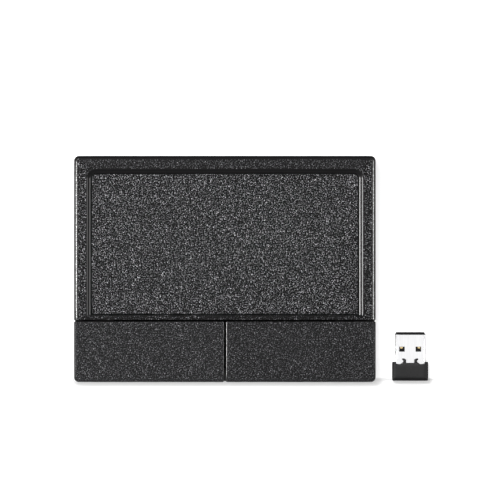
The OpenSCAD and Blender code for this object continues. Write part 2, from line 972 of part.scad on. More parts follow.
// Cell along X with its nub at the end given by side
module cell(y, side) {
  color(cell_blue)
  translate([0, y, cell_z]) rotate([0, 90 * side, 0]) {
    translate([0, 0, bay_half - contact_t - cell_l]) cylinder(d = cell_d, h = cell_l - nub_l);
    translate([0, 0, bay_half - contact_t - nub_l]) cylinder(d = nub_d, h = nub_l);
  }
}

module front_cell() {
  cell(front_cell_y, -1);
}

module rear_cell() {
  cell(rear_cell_y, 1);
}

// Contact plate against the bay's end wall on the given side
module contact_plate(side, from, to) {
  x = bay_half - contact_t / 2;
  translate([side * x, (from + to) / 2, cell_z])
    cube([contact_t, to - from, contact_h], center = true);
}

// Leaf bent out of a contact plate to press on a cell's flat end
module contact_leaf(side, y) {
  face = bay_half - contact_t;
  reach = face - spring_l;
  tip = face - leaf_tip;
  rise = leaf_tall - leaf_tip;
  mirror([side > 0 ? 0 : 1, 0, 0]) along_y(y - leaf_w / 2, y + leaf_w / 2) translate([0, cell_z])
    polygon([
      [face, -leaf_tall], [reach, -leaf_flat], [reach, leaf_flat], [tip, rise + leaf_edge],
      [tip + leaf_edge, rise], [reach + leaf_t, leaf_flat - leaf_edge / 2],
      [reach + leaf_t, leaf_edge - leaf_flat], [face, leaf_root - leaf_tall]
    ]);
}

// Tab through the bay's wall for a lead
module contact_tab(y) {
  box(
    [-bay_half - tab_l, y - tab_w / 2, tab_z],
    [-bay_half + contact_t / 2, y + tab_w / 2, tab_z + contact_t]
  );
}

module positive_contact() {
  color(steel) {
    contact_plate(-1, front_cell_y - contact_w / 2, front_cell_y + contact_w / 2);
    contact_tab(front_cell_y);
  }
}

module negative_contact() {
  color(steel) {
    contact_plate(-1, rear_cell_y - contact_w / 2, rear_cell_y + contact_w / 2);
    contact_leaf(-1, rear_cell_y);
    contact_tab(rear_cell_y);
  }
}

module jumper_contact() {
  color(steel) {
    contact_plate(1, front_cell_y - contact_w / 2, rear_cell_y + contact_w / 2);
    contact_leaf(1, front_cell_y);
  }
}

// Lead from a contact's tab, left, round a bend and forward on to the main board
module lead(x, y) {
  start = -bay_half - bay_wall - lead_off;
  finish = board_near + board_d - lead_in;
  translate([x + lead_bend, y - lead_bend, lead_z]) {
    translate([0, lead_bend, 0]) rotate([0, 90, 0]) cylinder(d = lead_d, h = start - x - lead_bend);
    translate([-lead_bend, 0, 0]) rotate([90, 0, 0]) cylinder(d = lead_d, h = y - lead_bend - finish);
    rotate([0, 0, 90]) rotate_extrude(angle = 90) translate([lead_bend, 0]) circle(d = lead_d);
  }
}

module positive_lead() {
  color("firebrick") lead(-bay_half - positive_lead_out, front_cell_y);
}

module negative_lead() {
  color("black") lead(-bay_half - negative_lead_out, rear_cell_y);
}

// Right button: outer form, hollow, hinge arms, switch rib and hook
module button_block() {
  near = split_w / 2;
  intersection() {
    along_x(-body_w, body_w)
      rounded_polygon([
        [-half_d, skirt_z], [button_rear, skirt_z],
        [button_rear, top_z(button_rear)], [-half_d, top_z(-half_d)]
      ], [0, 0, edge_r, front_r]);
    on_deck() along_y(-body_d, body_d)
      rounded_polygon([
        [near, -2 * rear_h], [half_w, -2 * rear_h], [half_w, 0], [near, 0]
      ], [0, 0, rim_r, edge_r]);
    linear_extrude(2 * rear_h)
      rounded_polygon(
        [[-half_w, -half_d], [half_w, -half_d], [half_w, half_d], [-half_w, half_d]], [0, plan_r, 0, 0]
      );
  }
}

module button_cavity() {
  front = -half_d + wall;
  rear = button_rear - inner_wall;
  along_x(split_w / 2 + inner_wall, half_w - wall)
    polygon([[front, 0], [rear, 0], [rear, below_z(rear, wall)], [front, below_z(front, wall)]]);
  box([-past, front, 0], [half_w - wall, button_rear + past, inner_skirt_z]);
}

module hinge_arm(x) {
  r = round_share * arm_t / 2;
  front = button_rear - inner_wall;
  rear = hinge_y + arm_t / 2;
  along_x(x - arm_w / 2, x + arm_w / 2)
    rounded_polygon([
      [front, hinge_z - arm_t / 2], [rear, hinge_z - arm_t / 2],
      [rear, hinge_z + arm_t / 2], [front, hinge_z + arm_t / 2]
    ], [0, r, r, 0]);
  hinge_line(x, trunnion_d, arm_w + 2 * (lug_gap + lug_t));
}

// Hook that catches under the case's tongue
module button_hook() {
  face = -tongue_half_d + tongue_t + hook_clear;
  tip = face - tongue_t + hook_clear;
  back = face + hook_t;
  catch_z = part_z - tongue_root - hook_clear;
  along_x(switch_x - hook_w / 2, switch_x + hook_w / 2)
    polygon([
      [tip, catch_z], [tip, catch_z - hook_t / 2], [face, catch_z - hook_t], [back, catch_z - hook_t],
      [back, below_z(back, wall / 2)], [face, below_z(face, wall / 2)], [face, catch_z]
    ]);
}

module right_button() {
  rib_z = plunger_top + rib_gap;
  color(plastic) {
    difference() {
      button_block();
      button_cavity();
    }
    for (x = arm_places)
      hinge_arm(x);
    translate([switch_x, switch_y, rib_z]) cylinder(d = rib_d, h = below_z(switch_y, wall / 2) - rib_z);
    button_hook();
  }
}

module left_button() {
  mirrored() right_button();
}

// Receiver on the desk, its plug pointing to the rear
module at_receiver() {
  translate([rx_x, rx_y, 0]) children();
}

// Square tube space of the plug between two places along its length
module plug_space(inset, from, to) {
  box([-plug_w / 2 + inset, from, plug_z + inset], [plug_w / 2 - inset, to, plug_z + plug_h - inset]);
}

module receiver_housing() {
  x = rx_w / 2;
  color(plastic)
  at_receiver()
  union() {
    difference() {
      intersection() {
        along_x(-rx_w, rx_w)
          rounded_polygon(
            [[0, 0], [rx_l, 0], [rx_l, rx_h], [0, rx_h]], [rx_end_r, edge_r, edge_r, rx_end_r]
          );
        along_y(-rx_l, 2 * rx_l) rounded_rect([-x, 0], [x, rx_h], rx_side_r);
        linear_extrude(2 * rx_h)
          rounded_polygon(
            [[-x, 0], [x, 0], [x, rx_l], [-x, rx_l]], [rx_corner_r, rx_corner_r, edge_r, edge_r]
          );
      }
      plug_space(0, rx_cavity_y, rx_l + past);
      translate([0, 0, plug_z + plug_h]) linear_extrude(rx_h) {
        for (side = [-1, 1])
          translate([side * rx_notch[2], rx_l])
            rounded_rect([-rx_notch[0] / 2, -rx_notch[1]], [rx_notch[0] / 2, past], round_share * rx_notch[1]);
        middle = rx_tab_x - rx_tab[0] / 2;
        translate([-middle, rx_l - rx_middle_cut]) square([2 * middle, past]);
      }
    }
    for (side = [-1, 1])
      translate([side * rx_tab_x - rx_tab[0] / 2, rx_l - past / 2, plug_z + plug_h])
        cube([rx_tab[0], rx_tab[1] + past / 2, rx_tab[2]]);
  }
}

module receiver_shell() {
  color(steel)
  at_receiver()
  difference() {
    plug_space(0, rx_l - plug_root, rx_l + plug_l);
    plug_space(shell_t, 0, rx_l + plug_l + past);
    for (side = [-1, 1])
      translate([side * rx_hole_x, rx_l + plug_l - rx_hole_y, rx_h / 2])
        cube([rx_hole[0], rx_hole[1], rx_h], center = true);
  }
}

// Tongue, with a cover over the roots of its contacts
module receiver_tongue() {
  half = plug_w / 2 - shell_t;
  color(chip_black)
  at_receiver()
  difference() {
    union() {
      box([-half, rx_l - plug_root, rx_inner_z], [half, rx_l + plug_l + tongue_out, rx_tongue_top]);
      box(
        [-half + shell_t, rx_cover_y[0], rx_inner_z], [half - shell_t, rx_cover_y[1], rx_tongue_top + rx_cover_t]
      );
    }
    for (x = rx_contact_x)
      translate([x - rx_contact_w / 2 - rx_groove, rx_cover_y[0] - past, rx_tongue_top])
        cube([rx_contact_w + 2 * rx_groove, rx_cover_y[1] - rx_cover_y[0] + 2 * past, rx_contact_t + rx_groove]);
  }
}

module receiver_contacts() {
  length = rx_l + plug_l - rx_contact_in - rx_board_end;
  color(gold)
  at_receiver()
  for (x = rx_contact_x)
    translate([x - rx_contact_w / 2, rx_board_end, rx_tongue_top])
      cube([rx_contact_w, length, rx_contact_t]);
}

module receiver_board() {
  half = plug_w / 2 - 2 * shell_t;
  start = rx_cavity_y + rx_board_gap;
  color(board_black)
  at_receiver()
    box([-half, start, rx_tongue_top], [half, rx_board_end, rx_tongue_top + rx_board_t]);
}

module receiver_chip() {
  top = rx_tongue_top + rx_board_t;
  color(chip_black)
  at_receiver()
    translate([-rx_chip_w / 2, rx_chip_y, top]) cube([rx_chip_w, rx_chip_w, rx_chip_h]);
}

top_frame();
touch_surface();
touch_adhesive();
sensor_board();
touch_controller();
sensor_connector();
sensor_cable();
board_connector();
main_board();
radio_chip();
crystal();
left_switch_base();
left_switch_cover();
left_switch_plunger();
right_switch_base();
right_switch_cover();
right_switch_plunger();
power_switch_body();
power_switch_lever();
power_switch_knob();
board_screws();
case_screws();
bottom_case();
rubber_feet();
battery_door();
front_cell();
rear_cell();
positive_contact();
negative_contact();
jumper_contact();
positive_lead();
negative_lead();
left_button();
right_button();
receiver_housing();
receiver_shell();
receiver_tongue();
receiver_contacts();
receiver_board();
receiver_chip();
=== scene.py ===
"""Looks of a wedge-shaped wireless trackpad and its plug-in receiver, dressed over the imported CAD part.

Lengths are in millimetres until a mesh is made, and in metres for the floor, the lamps and the camera.
X runs to the user's right, Y to the rear and Z up.
"""

import math

import bmesh
import bpy
import numpy as np
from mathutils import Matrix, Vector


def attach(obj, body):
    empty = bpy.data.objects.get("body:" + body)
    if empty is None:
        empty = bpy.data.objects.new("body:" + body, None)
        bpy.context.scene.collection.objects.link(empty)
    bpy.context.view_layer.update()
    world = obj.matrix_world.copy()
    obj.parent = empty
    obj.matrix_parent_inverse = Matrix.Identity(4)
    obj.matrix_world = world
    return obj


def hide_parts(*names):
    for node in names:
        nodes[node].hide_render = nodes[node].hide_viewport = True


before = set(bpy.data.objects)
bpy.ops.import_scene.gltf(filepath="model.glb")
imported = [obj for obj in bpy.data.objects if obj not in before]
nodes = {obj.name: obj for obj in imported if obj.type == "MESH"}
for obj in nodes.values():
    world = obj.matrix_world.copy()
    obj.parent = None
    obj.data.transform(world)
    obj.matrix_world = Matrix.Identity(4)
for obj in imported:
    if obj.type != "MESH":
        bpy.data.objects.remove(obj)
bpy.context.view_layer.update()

# Sizes of the pad

MM = 0.001
HALF_W, HALF_D = 60.0, 45.0
REAR_H, FRONT_H = 19.1, 11.1
SLOPE = (REAR_H - FRONT_H) / (2 * HALF_D)
TILT = math.atan(SLOPE)
DECK_Z0 = REAR_H - HALF_D * SLOPE
PART_Z = 6.4
FRAME_FRONT = -20.3
BUTTON_REAR = -21.0
SPLIT = 0.8
WALL, INNER_WALL, RAIL_WALL = 2.0, 1.5, 1.2
RAIL_W, RAIL_BOTTOM = 1.85, 10.4
PLAN_R, SMALL_R, SPLIT_CORNER_R = 2.0, 0.2, 0.5
REAR_LEAST_R, FRONT_LEAST_R, SPLIT_LEAST_R = 0.3, 0.25, 0.15
EDGE_R, FINE_R, RIM_R, BUTTON_RIM_R, FRONT_R, SPLIT_R = 0.4, 0.15, 1.4, 1.0, 1.3, 0.5
COVE_W, RECESS, DECK_T = 1.85, 0.9, 1.75
WINDOW_HALF, WINDOW_R, WINDOW_REAR_Y = 53.3, 2.1, 38.0
WINDOW_FRONT = (FRAME_FRONT + RAIL_W) / math.cos(TILT)
WINDOW_REAR = WINDOW_REAR_Y / math.cos(TILT)
TOUCH_GAP, TOUCH_T, TOUCH_EDGE_R = 0.4, 0.7, 0.12
SKIRT_Z, INNER_SKIRT_Z = 7.03, 8.03

# Sizes of the underside

FOOT_W, FOOT_L, FOOT_R, FOOT_TOP, FOOT_EDGE_R = 6.0, 14.0, 2.5, 1.4, 0.3
FOOT_AT = [(-51.5, -32.0), (51.5, -32.0), (-51.5, 30.0), (51.5, 30.0)]
SCREW_AT = [(-55.8, -15.5), (55.8, -15.5), (-55.8, 40.8), (55.8, 40.8)]
SCREW_HEAD_R, SCREW_SHANK_R, SCREW_RIM_R = 1.8, 1.0, 0.25
SCREW_FACE_Z, SCREW_SEAT_Z, SCREW_END_Z = 1.6, 3.0, 11.0
SCREW_TIP_R, SCREW_TIP_L = 0.6, 0.4
CROSS_HALF, CROSS_WALL, CROSS_REACH, CROSS_END = 0.36, 0.14, 1.2, 0.3
CROSS_DEEP, CROSS_RISE = 0.75, 0.3

# Sizes of the receiver

RX_X, RX_Y = 73.7, -44.5
RX_W, RX_L, RX_H = 14.4, 7.6, 6.0
RX_END_R, RX_SIDE_R, RX_CORNER_R, RX_FAR_R = 1.2, 1.0, 0.7, 0.5
RX_LAP, RX_TOP_IN = 0.04, 2.0
NEAR_LEAST_R, BLOCK_LEAST_R = 0.15, 0.02
PLUG_W, PLUG_H, PLUG_L, PLUG_Z = 12.0, 4.5, 11.2, 0.75
PLUG_ROOT, SHELL_T, PLUG_R = 4.0, 0.3, 0.55
LIP_L, LIP_IN, LIP_OPEN = 0.5, 0.16, 0.4
MOUTH_CUTS = np.array([1.0, 0.55, LIP_L, 0.3, 0.12, 0.0])
HOLE_W, HOLE_L, HOLE_X, HOLE_IN = 2.5, 2.0, 3.1, 6.2
TAB_W, TAB_L, TAB_H, TAB_X = 1.2, 1.0, 0.4, 2.2
TAB_ROOT, TAB_SINK, TAB_EDGE_R, TAB_PLAN_R = 1.0, 0.1, 0.12, 0.2
ARM_W, ARM_SHIFT, ARM_FAR, ARM_NEAR, ARM_DROP = 1.1, 0.45, 0.3, 0.35, 0.1
NOTCH_X, NOTCH_HALF, NOTCH_L, MIDDLE_CUT = 4.45, 1.5, 1.0, 0.45

# How strong the mould grain is, how light and how glossy: right, rear, left and rail of the frame.
# Grain and tone differ by side as painted light: the left rim is lighter and sparkles more, as if lit from
# the left. The rail is darker.
FRAME_GRAIN_AND_GLINT, FRAME_TONE_AND_SHADE = (2.4, 0.78, 3.6, 3.0), (0.29, 0.352, 0.30, 0.18)
WINDOW_GLOSS, RIM_GLOSS = (0.52, 0.3, 0.22, 0.3), (0.85, 0.0, 1.0, 0.3)
# The same for the buttons: tone of the left and the right one, the left lighter as painted light from
# the left, gloss outside, behind, at the split, in front
BUTTON_GRAIN, BUTTON_TONE_AND_SHADE, BUTTON_GLOSS = 0.76, (0.467, 0.402), (0.08, 0.0, 1.0, 0.1)
TOUCH_GRAIN, TOUCH_EDGE_GRAIN = 1.15, 0.3
# Shares of that grain on the frame's round edge, its outer and its hidden walls, and on the buttons' sides
EDGE_GRAIN, WALL_GRAIN, HIDDEN_GRAIN, BUTTON_SIDE_GRAIN = 0.18, 0.12, 0.6, 0.6
# Near-black tone of painted shade: on the smooth round edges and the window's curved wall, and on walls
# in gaps and hollows, where shade falls
PAINTED_SHADE_TONE = 0.05
# How much gloss the curved wall loses on its way up, and the share left on the lower half of the rim's edge
COVE_FADE, LOW_RIM_GLOSS = 0.4, 0.25


def top_z(y):
    """Height of the sloping top over a place along Y."""
    return DECK_Z0 + y * SLOPE


def on_deck(x, v, w):
    """Points given on the deck, v along its slope and w square to it, turned into the part's frame."""
    y = v * math.cos(TILT) - w * math.sin(TILT)
    z = DECK_Z0 + v * math.sin(TILT) + w * math.cos(TILT)
    return np.stack(np.broadcast_arrays(x, y, z), -1)


# Meshes from grids

MERGE_M, THIN_M = 2e-7, 1e-8


def cells(rows, cols, close_rows=False, close_cols=False):
    """Corner numbers of every cell of a grid of points: each joins a point to the next along both ways."""
    r, c = np.meshgrid(
        np.arange(rows if close_rows else rows - 1),
        np.arange(cols if close_cols else cols - 1),
        indexing="ij",
    )
    r2, c2 = (r + 1) % rows, (c + 1) % cols
    return np.stack([r * cols + c, r2 * cols + c, r2 * cols + c2, r * cols + c2], -1)


def patch(points, close_rows=False, close_cols=False, keep=None, **marks):
    """A grid of points with its cells, less those that keep leaves out, and its marks, one number a point."""
    rows, cols = points.shape[:2]
    faces = cells(rows, cols, close_rows, close_cols)
    faces = faces.reshape(-1, 4) if keep is None else faces[keep]
    flat = {key: np.broadcast_to(value, (rows, cols)).ravel() for key, value in marks.items()}
    return points.reshape(-1, 3), faces, flat


def moved(patches, shift):
    """The same patches at another place."""
    return [(points + shift, faces, marks) for points, faces, marks in patches]


def make_piece(name, patches, body, material, replaced=(), crease_deg=32):
    """One object from patches: their points end to end, equal points merged, faces turned outwards."""
    counts = np.cumsum([0] + [len(p[0]) for p in patches])
    points = np.concatenate([p[0] for p in patches]) * MM
    faces = np.concatenate([p[1] + start for p, start in zip(patches, counts)])
    mesh = bpy.data.meshes.new(name)
    mesh.from_pydata(points.tolist(), [], faces.tolist())
    for key in sorted({key for p in patches for key in p[2]}):
        values = [p[2].get(key, np.zeros(len(p[0]))) for p in patches]
        mark = mesh.attributes.new(key, "FLOAT", "POINT")
        mark.data.foreach_set("value", np.concatenate(values).astype(np.float32))
    work = bmesh.new()
    work.from_mesh(mesh)
    bmesh.ops.remove_doubles(work, verts=work.verts, dist=MERGE_M)
    bmesh.ops.dissolve_degenerate(work, edges=work.edges, dist=THIN_M)
    bmesh.ops.recalc_face_normals(work, faces=work.faces)
    work.to_mesh(mesh)
    work.free()
    mesh.shade_smooth()
    mesh.set_sharp_from_angle(angle=math.radians(crease_deg))
    mesh.materials.append(material)
    piece = bpy.data.objects.new(name, mesh)
    bpy.context.scene.collection.objects.link(piece)
    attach(piece, body)
    if replaced:
        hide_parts(*replaced)
    return piece


# Rings and profiles

ARC_STEPS, SIDE_STEPS, FAR_STEPS = 8, 9, 95
EDGE_RINGS, SMALL_EDGE_RINGS = 9, 6


def even_cuts(count):
    """Places inside a side that cut it evenly, as shares of its length."""
    return np.linspace(0, 1, count + 2)[1:-1]


EVEN = even_cuts(SIDE_STEPS)


def ring(right, rear, left, front, radii, steps=(EVEN, EVEN, EVEN, EVEN)):
    """Points round a rectangle with round corners, and the way each one faces.

    Each corner is a quarter circle inside its two sides, and each side is cut where steps says, as shares of
    its length. It runs from the right side's rear corner over the rear, the left and the front.
    """
    corners = [(right, rear), (left, rear), (left, front), (right, front)]
    signs = [(1, 1), (-1, 1), (-1, -1), (1, -1)]
    turn = np.linspace(0, math.pi / 2, ARC_STEPS + 1)
    arcs, ways = [], []
    for i, (corner, sign, r) in enumerate(zip(corners, signs, radii)):
        out = np.stack([np.cos(turn + i * math.pi / 2), np.sin(turn + i * math.pi / 2)], -1)
        arcs.append(np.array(corner) - r * np.array(sign) + r * out)
        ways.append(out)
    points, facing = [], []
    for i in range(4):
        start, end = arcs[i][-1], arcs[(i + 1) % 4][0]
        points += [arcs[i], start + np.outer(steps[i], end - start)]
        facing += [ways[i], np.repeat(ways[i][-1:], len(steps[i]), 0)]
    return np.concatenate(points), np.concatenate(facing)


def share(facing, right, rear, left, front):
    """A value for each point of a ring: its side's, and on a corner a mix by the squares of its facing."""
    x, y = facing[:, 0], facing[:, 1]
    return (
        np.maximum(x, 0) ** 2 * right
        + np.maximum(y, 0) ** 2 * rear
        + np.maximum(-x, 0) ** 2 * left
        + np.maximum(-y, 0) ** 2 * front
    )


def corner_r(r, one_in, other_in, least=0.1):
    """Corner radius of a ring that has moved in: it shrinks by the mean of the two insets beside it."""
    return max(r - (one_in + other_in) / 2, least)


def round_edge(r, count=EDGE_RINGS):
    """Quarter circle from a flat top to an upright wall: pairs of distance in from the wall and depth."""
    a = np.linspace(0, math.pi / 2, count)
    return np.stack([r * (1 - np.sin(a)), r * (1 - np.cos(a))], -1)


def capped(rings):
    """Rings with a pole at each end: the first and the last ring's middle, repeated round."""
    return np.concatenate([rings[:1] * 0 + rings[0].mean(0), rings, rings[:1] * 0 + rings[-1].mean(0)])


# Shaders


def feed(tree, socket, value):
    """Gives a socket an output to follow, or a number or a colour of its own."""
    if isinstance(value, bpy.types.NodeSocket):
        tree.links.new(value, socket)
    else:
        socket.default_value = (*value, 1.0) if isinstance(value, tuple) else value


def add(tree, kind, *links, **values):
    """A shader node: values go to its settings or sockets by name, and links are (socket, output) pairs."""
    node = tree.nodes.new(kind)
    for key, value in values.items():
        if hasattr(node, key):
            setattr(node, key, value)
        else:
            node.inputs[key.replace("_", " ")].default_value = value
    for socket, output in links:
        tree.links.new(output, node.inputs[socket])
    return node


def calc(tree, kind, a, b=0.0, clamp=False):
    """One arithmetic node on two outputs or numbers."""
    node = add(tree, "ShaderNodeMath", operation=kind, use_clamp=clamp)
    feed(tree, node.inputs[0], a)
    feed(tree, node.inputs[1], b)
    return node.outputs[0]


def between(tree, value, low, high, to_low=0.0, to_high=1.0):
    """A value's smooth share of the way from low to high, as a number from to_low to to_high."""
    node = add(tree, "ShaderNodeMapRange", ("Value", value), interpolation_type="SMOOTHSTEP")
    for key, number in (("From Min", low), ("From Max", high), ("To Min", to_low), ("To Max", to_high)):
        feed(tree, node.inputs[key], number)
    return node.outputs[0]


# Numbers of a Mix node's factor, its two colours and its mixed colour
MIX_FACTOR, MIX_A, MIX_B, MIXED = 0, 6, 7, 2


def blend_colour(tree, factor, a, b):
    """A mix of two colours, each an output or a triple."""
    node = add(tree, "ShaderNodeMix", data_type="RGBA")
    for i, value in ((MIX_FACTOR, factor), (MIX_A, a), (MIX_B, b)):
        feed(tree, node.inputs[i], value)
    return node.outputs[MIXED]


def tinted(colour, factor, lift=0.0):
    """A colour times a factor, with a lift added, at most white."""
    return tuple(min(1.0, factor * channel + lift) for channel in colour)


def new_group(name, inputs, outputs):
    """An empty node group with named sockets; returns it with its two end nodes."""
    tree = bpy.data.node_groups.new(name, "ShaderNodeTree")
    for label, kind, value in inputs:
        socket = tree.interface.new_socket(label, in_out="INPUT", socket_type=kind)
        if value is not None:
            socket.default_value = value
    for label, kind in outputs:
        tree.interface.new_socket(label, in_out="OUTPUT", socket_type=kind)
    return tree, tree.nodes.new("NodeGroupInput"), tree.nodes.new("NodeGroupOutput")


FLOAT, VECTOR = "NodeSocketFloat", "NodeSocketVector"


def moulded_grain():
    """Leathery mould grain: two sizes of noise add up to hills, and a smooth step at mid height is tone."""
    tree, given, result = new_group(
        "moulded_grain",
        [("Place", VECTOR, None), ("Grain", FLOAT, 1500.0), ("Sharp", FLOAT, 0.12)],
        [("Height", FLOAT), ("Tone", FLOAT)],
    )
    place, grain, sharp = given.outputs[:3]
    hills = add(tree, "ShaderNodeTexNoise", ("Vector", place), ("Scale", grain), Detail=2.0, Roughness=0.55)
    fine_scale = calc(tree, "MULTIPLY", grain, 2.3)
    fine = add(tree, "ShaderNodeTexNoise", ("Vector", place), ("Scale", fine_scale), Detail=1.0)
    height = calc(tree, "ADD", calc(tree, "MULTIPLY", hills.outputs[0], 0.72),
                  calc(tree, "MULTIPLY", fine.outputs[0], 0.28))
    low, high = calc(tree, "SUBTRACT", 0.5, sharp), calc(tree, "ADD", 0.5, sharp)
    tree.links.new(height, result.inputs["Height"])
    tree.links.new(between(tree, height, low, high), result.inputs["Tone"])
    return tree


# How much pebbles differ, and their radius and bend as shares of a cell
PEBBLE_SPREAD, PEBBLE_R, PEBBLE_BEND = 1.3, 0.4, 1.1
# What brings their mean shade to one, the bending noise's scale against theirs, and three channels' mean sum
PEBBLE_GAIN, PEBBLE_NOISE, CHANNEL_MEAN = 5.57, 1.6, 1.5


def pebble_grain_and_glints():
    """Domed pebbles of one size, each with a shade of its own.

    A pebble is a smooth hill round its cell's middle, times e to the power of a near-normal number made from
    the cell's three random channels. That is scaled to a mean of one, and strength says how far the shade
    goes from an even one towards it. The cells lie in a plane, and height is added to both ways along it, so
    that they cover walls too. Fine noise bends the plane, so no two pebbles have the same outline. The shade
    is partly the grain's own tone and partly painted glints: its brightest pebbles are far lighter than black
    plastic.
    """
    tree, given, result = new_group(
        "pebble_grain_and_glints",
        [("Place", VECTOR, None), ("Count", FLOAT, 1700.0), ("Strength", FLOAT, 1.0)],
        [("Height", FLOAT), ("Shade", FLOAT)],
    )
    place, count, strength = given.outputs[:3]
    at = add(tree, "ShaderNodeSeparateXYZ", ("Vector", place)).outputs
    noise_scale = calc(tree, "MULTIPLY", count, PEBBLE_NOISE)
    noise = add(tree, "ShaderNodeTexNoise", ("Vector", place), ("Scale", noise_scale))
    bend = add(tree, "ShaderNodeSeparateColor", ("Color", noise.outputs["Color"])).outputs
    reach = calc(tree, "DIVIDE", PEBBLE_BEND, count)
    plane = add(tree, "ShaderNodeCombineXYZ")
    for way, channel in (("X", bend[0]), ("Y", bend[1])):
        bent = calc(tree, "MULTIPLY", calc(tree, "SUBTRACT", channel, 0.5), reach)
        level = calc(tree, "ADD", at[way], at["Z"])
        tree.links.new(calc(tree, "ADD", level, bent), plane.inputs[way])
    cell = add(tree, "ShaderNodeTexVoronoi", ("Vector", plane.outputs[0]), ("Scale", count),
               voronoi_dimensions="2D")
    red, green, blue = add(tree, "ShaderNodeSeparateColor", ("Color", cell.outputs["Color"])).outputs
    total = calc(tree, "ADD", calc(tree, "ADD", red, green), blue)
    power = calc(tree, "MULTIPLY", calc(tree, "SUBTRACT", total, CHANNEL_MEAN), PEBBLE_SPREAD)
    own = calc(tree, "EXPONENT", power)
    dome = calc(tree, "SUBTRACT", 1.0, between(tree, cell.outputs["Distance"], 0.0, PEBBLE_R))
    shade = calc(tree, "MULTIPLY", calc(tree, "MULTIPLY", dome, own), PEBBLE_GAIN)
    away = calc(tree, "MULTIPLY", calc(tree, "SUBTRACT", shade, 1.0), strength)
    tree.links.new(calc(tree, "MAXIMUM", calc(tree, "ADD", away, 1.0), 0.0), result.inputs["Shade"])
    tree.links.new(dome, result.inputs["Height"])
    return tree


def slow_drift():
    """Slow change over a large surface, for sheen and shade: wide noise with finer, weaker layers."""
    tree, given, result = new_group(
        "slow_drift", [("Place", VECTOR, None), ("Size", FLOAT, 40.0)], [("Drift", FLOAT)]
    )
    place, size = given.outputs[:2]
    wide = add(tree, "ShaderNodeTexNoise", ("Vector", place), ("Scale", size), Detail=3.0, Roughness=0.6)
    tree.links.new(between(tree, wide.outputs[0], 0.3, 0.7), result.inputs["Drift"])
    return tree


def handling_marks():
    """Rubbed spots and short scuffs: stretched noise cut to thin streaks, broken up by a wide one."""
    tree, given, result = new_group(
        "handling_marks", [("Place", VECTOR, None), ("Amount", FLOAT, 0.5)], [("Mark", FLOAT)]
    )
    place, amount = given.outputs[:2]
    turned = add(tree, "ShaderNodeMapping", ("Vector", place), Rotation=(0.2, 0.3, 0.7),
                 Scale=(900.0, 60.0, 300.0))
    streaks = add(tree, "ShaderNodeTexNoise", ("Vector", turned.outputs[0]), Scale=1.0, Detail=2.0)
    patches = add(tree, "ShaderNodeTexNoise", ("Vector", place), Scale=70.0, Detail=2.0)
    mark = calc(tree, "MULTIPLY", between(tree, streaks.outputs[0], 0.58, 0.72),
                between(tree, patches.outputs[0], 0.45, 0.65))
    tree.links.new(calc(tree, "MULTIPLY", mark, amount), result.inputs["Mark"])
    return tree


def brushed_lines():
    """Drawn or brushed metal: noise stretched along Y until it is lines."""
    tree, given, result = new_group(
        "brushed_lines", [("Place", VECTOR, None), ("Lines", FLOAT, 6000.0)], [("Line", FLOAT)]
    )
    place, count = given.outputs[:2]
    long = add(tree, "ShaderNodeMapping", ("Vector", place), Scale=(1.0, 0.03, 1.0))
    lines = add(tree, "ShaderNodeTexNoise", ("Vector", long.outputs[0]), ("Scale", count), Detail=3.0,
                Roughness=0.7)
    tree.links.new(lines.outputs[0], result.inputs["Line"])
    return tree


GRAIN, PEBBLES, DRIFT = moulded_grain(), pebble_grain_and_glints(), slow_drift()
MARKS, LINES = handling_marks(), brushed_lines()


class Finish:
    """A material under way: its tree, its shader and the Object coordinates that its patterns read."""

    def __init__(self, name, **constants):
        self.material = bpy.data.materials.new(name)
        self.material.use_nodes = True
        self.tree = self.material.node_tree
        self.tree.nodes.clear()
        self.shader = add(self.tree, "ShaderNodeBsdfPrincipled", **constants)
        out = self.tree.nodes.new("ShaderNodeOutputMaterial")
        self.tree.links.new(self.shader.outputs[0], out.inputs[0])
        self.place = self.tree.nodes.new("ShaderNodeTexCoord").outputs["Object"]

    def use(self, group, **values):
        """Places a shared effect with its own values and returns its outputs."""
        node = self.tree.nodes.new("ShaderNodeGroup")
        node.node_tree = group
        self.tree.links.new(self.place, node.inputs["Place"])
        for key, value in values.items():
            feed(self.tree, node.inputs[key], value)
        return node.outputs

    def mark(self, name):
        """A mark that the mesh carries on its points."""
        return add(self.tree, "ShaderNodeAttribute", attribute_name=name).outputs["Fac"]

    def set(self, **outputs):
        """Links outputs to the shader's sockets by name."""
        for key, output in outputs.items():
            self.tree.links.new(output, self.shader.inputs[key.replace("_", " ")])

    def bump(self, height, depth_mm):
        """Raises the surface in the shader by a height from nought to one, times a depth."""
        node = add(self.tree, "ShaderNodeBump", ("Height", height), Strength=1.0, Distance=depth_mm * MM)
        self.tree.links.new(node.outputs[0], self.shader.inputs["Normal"])


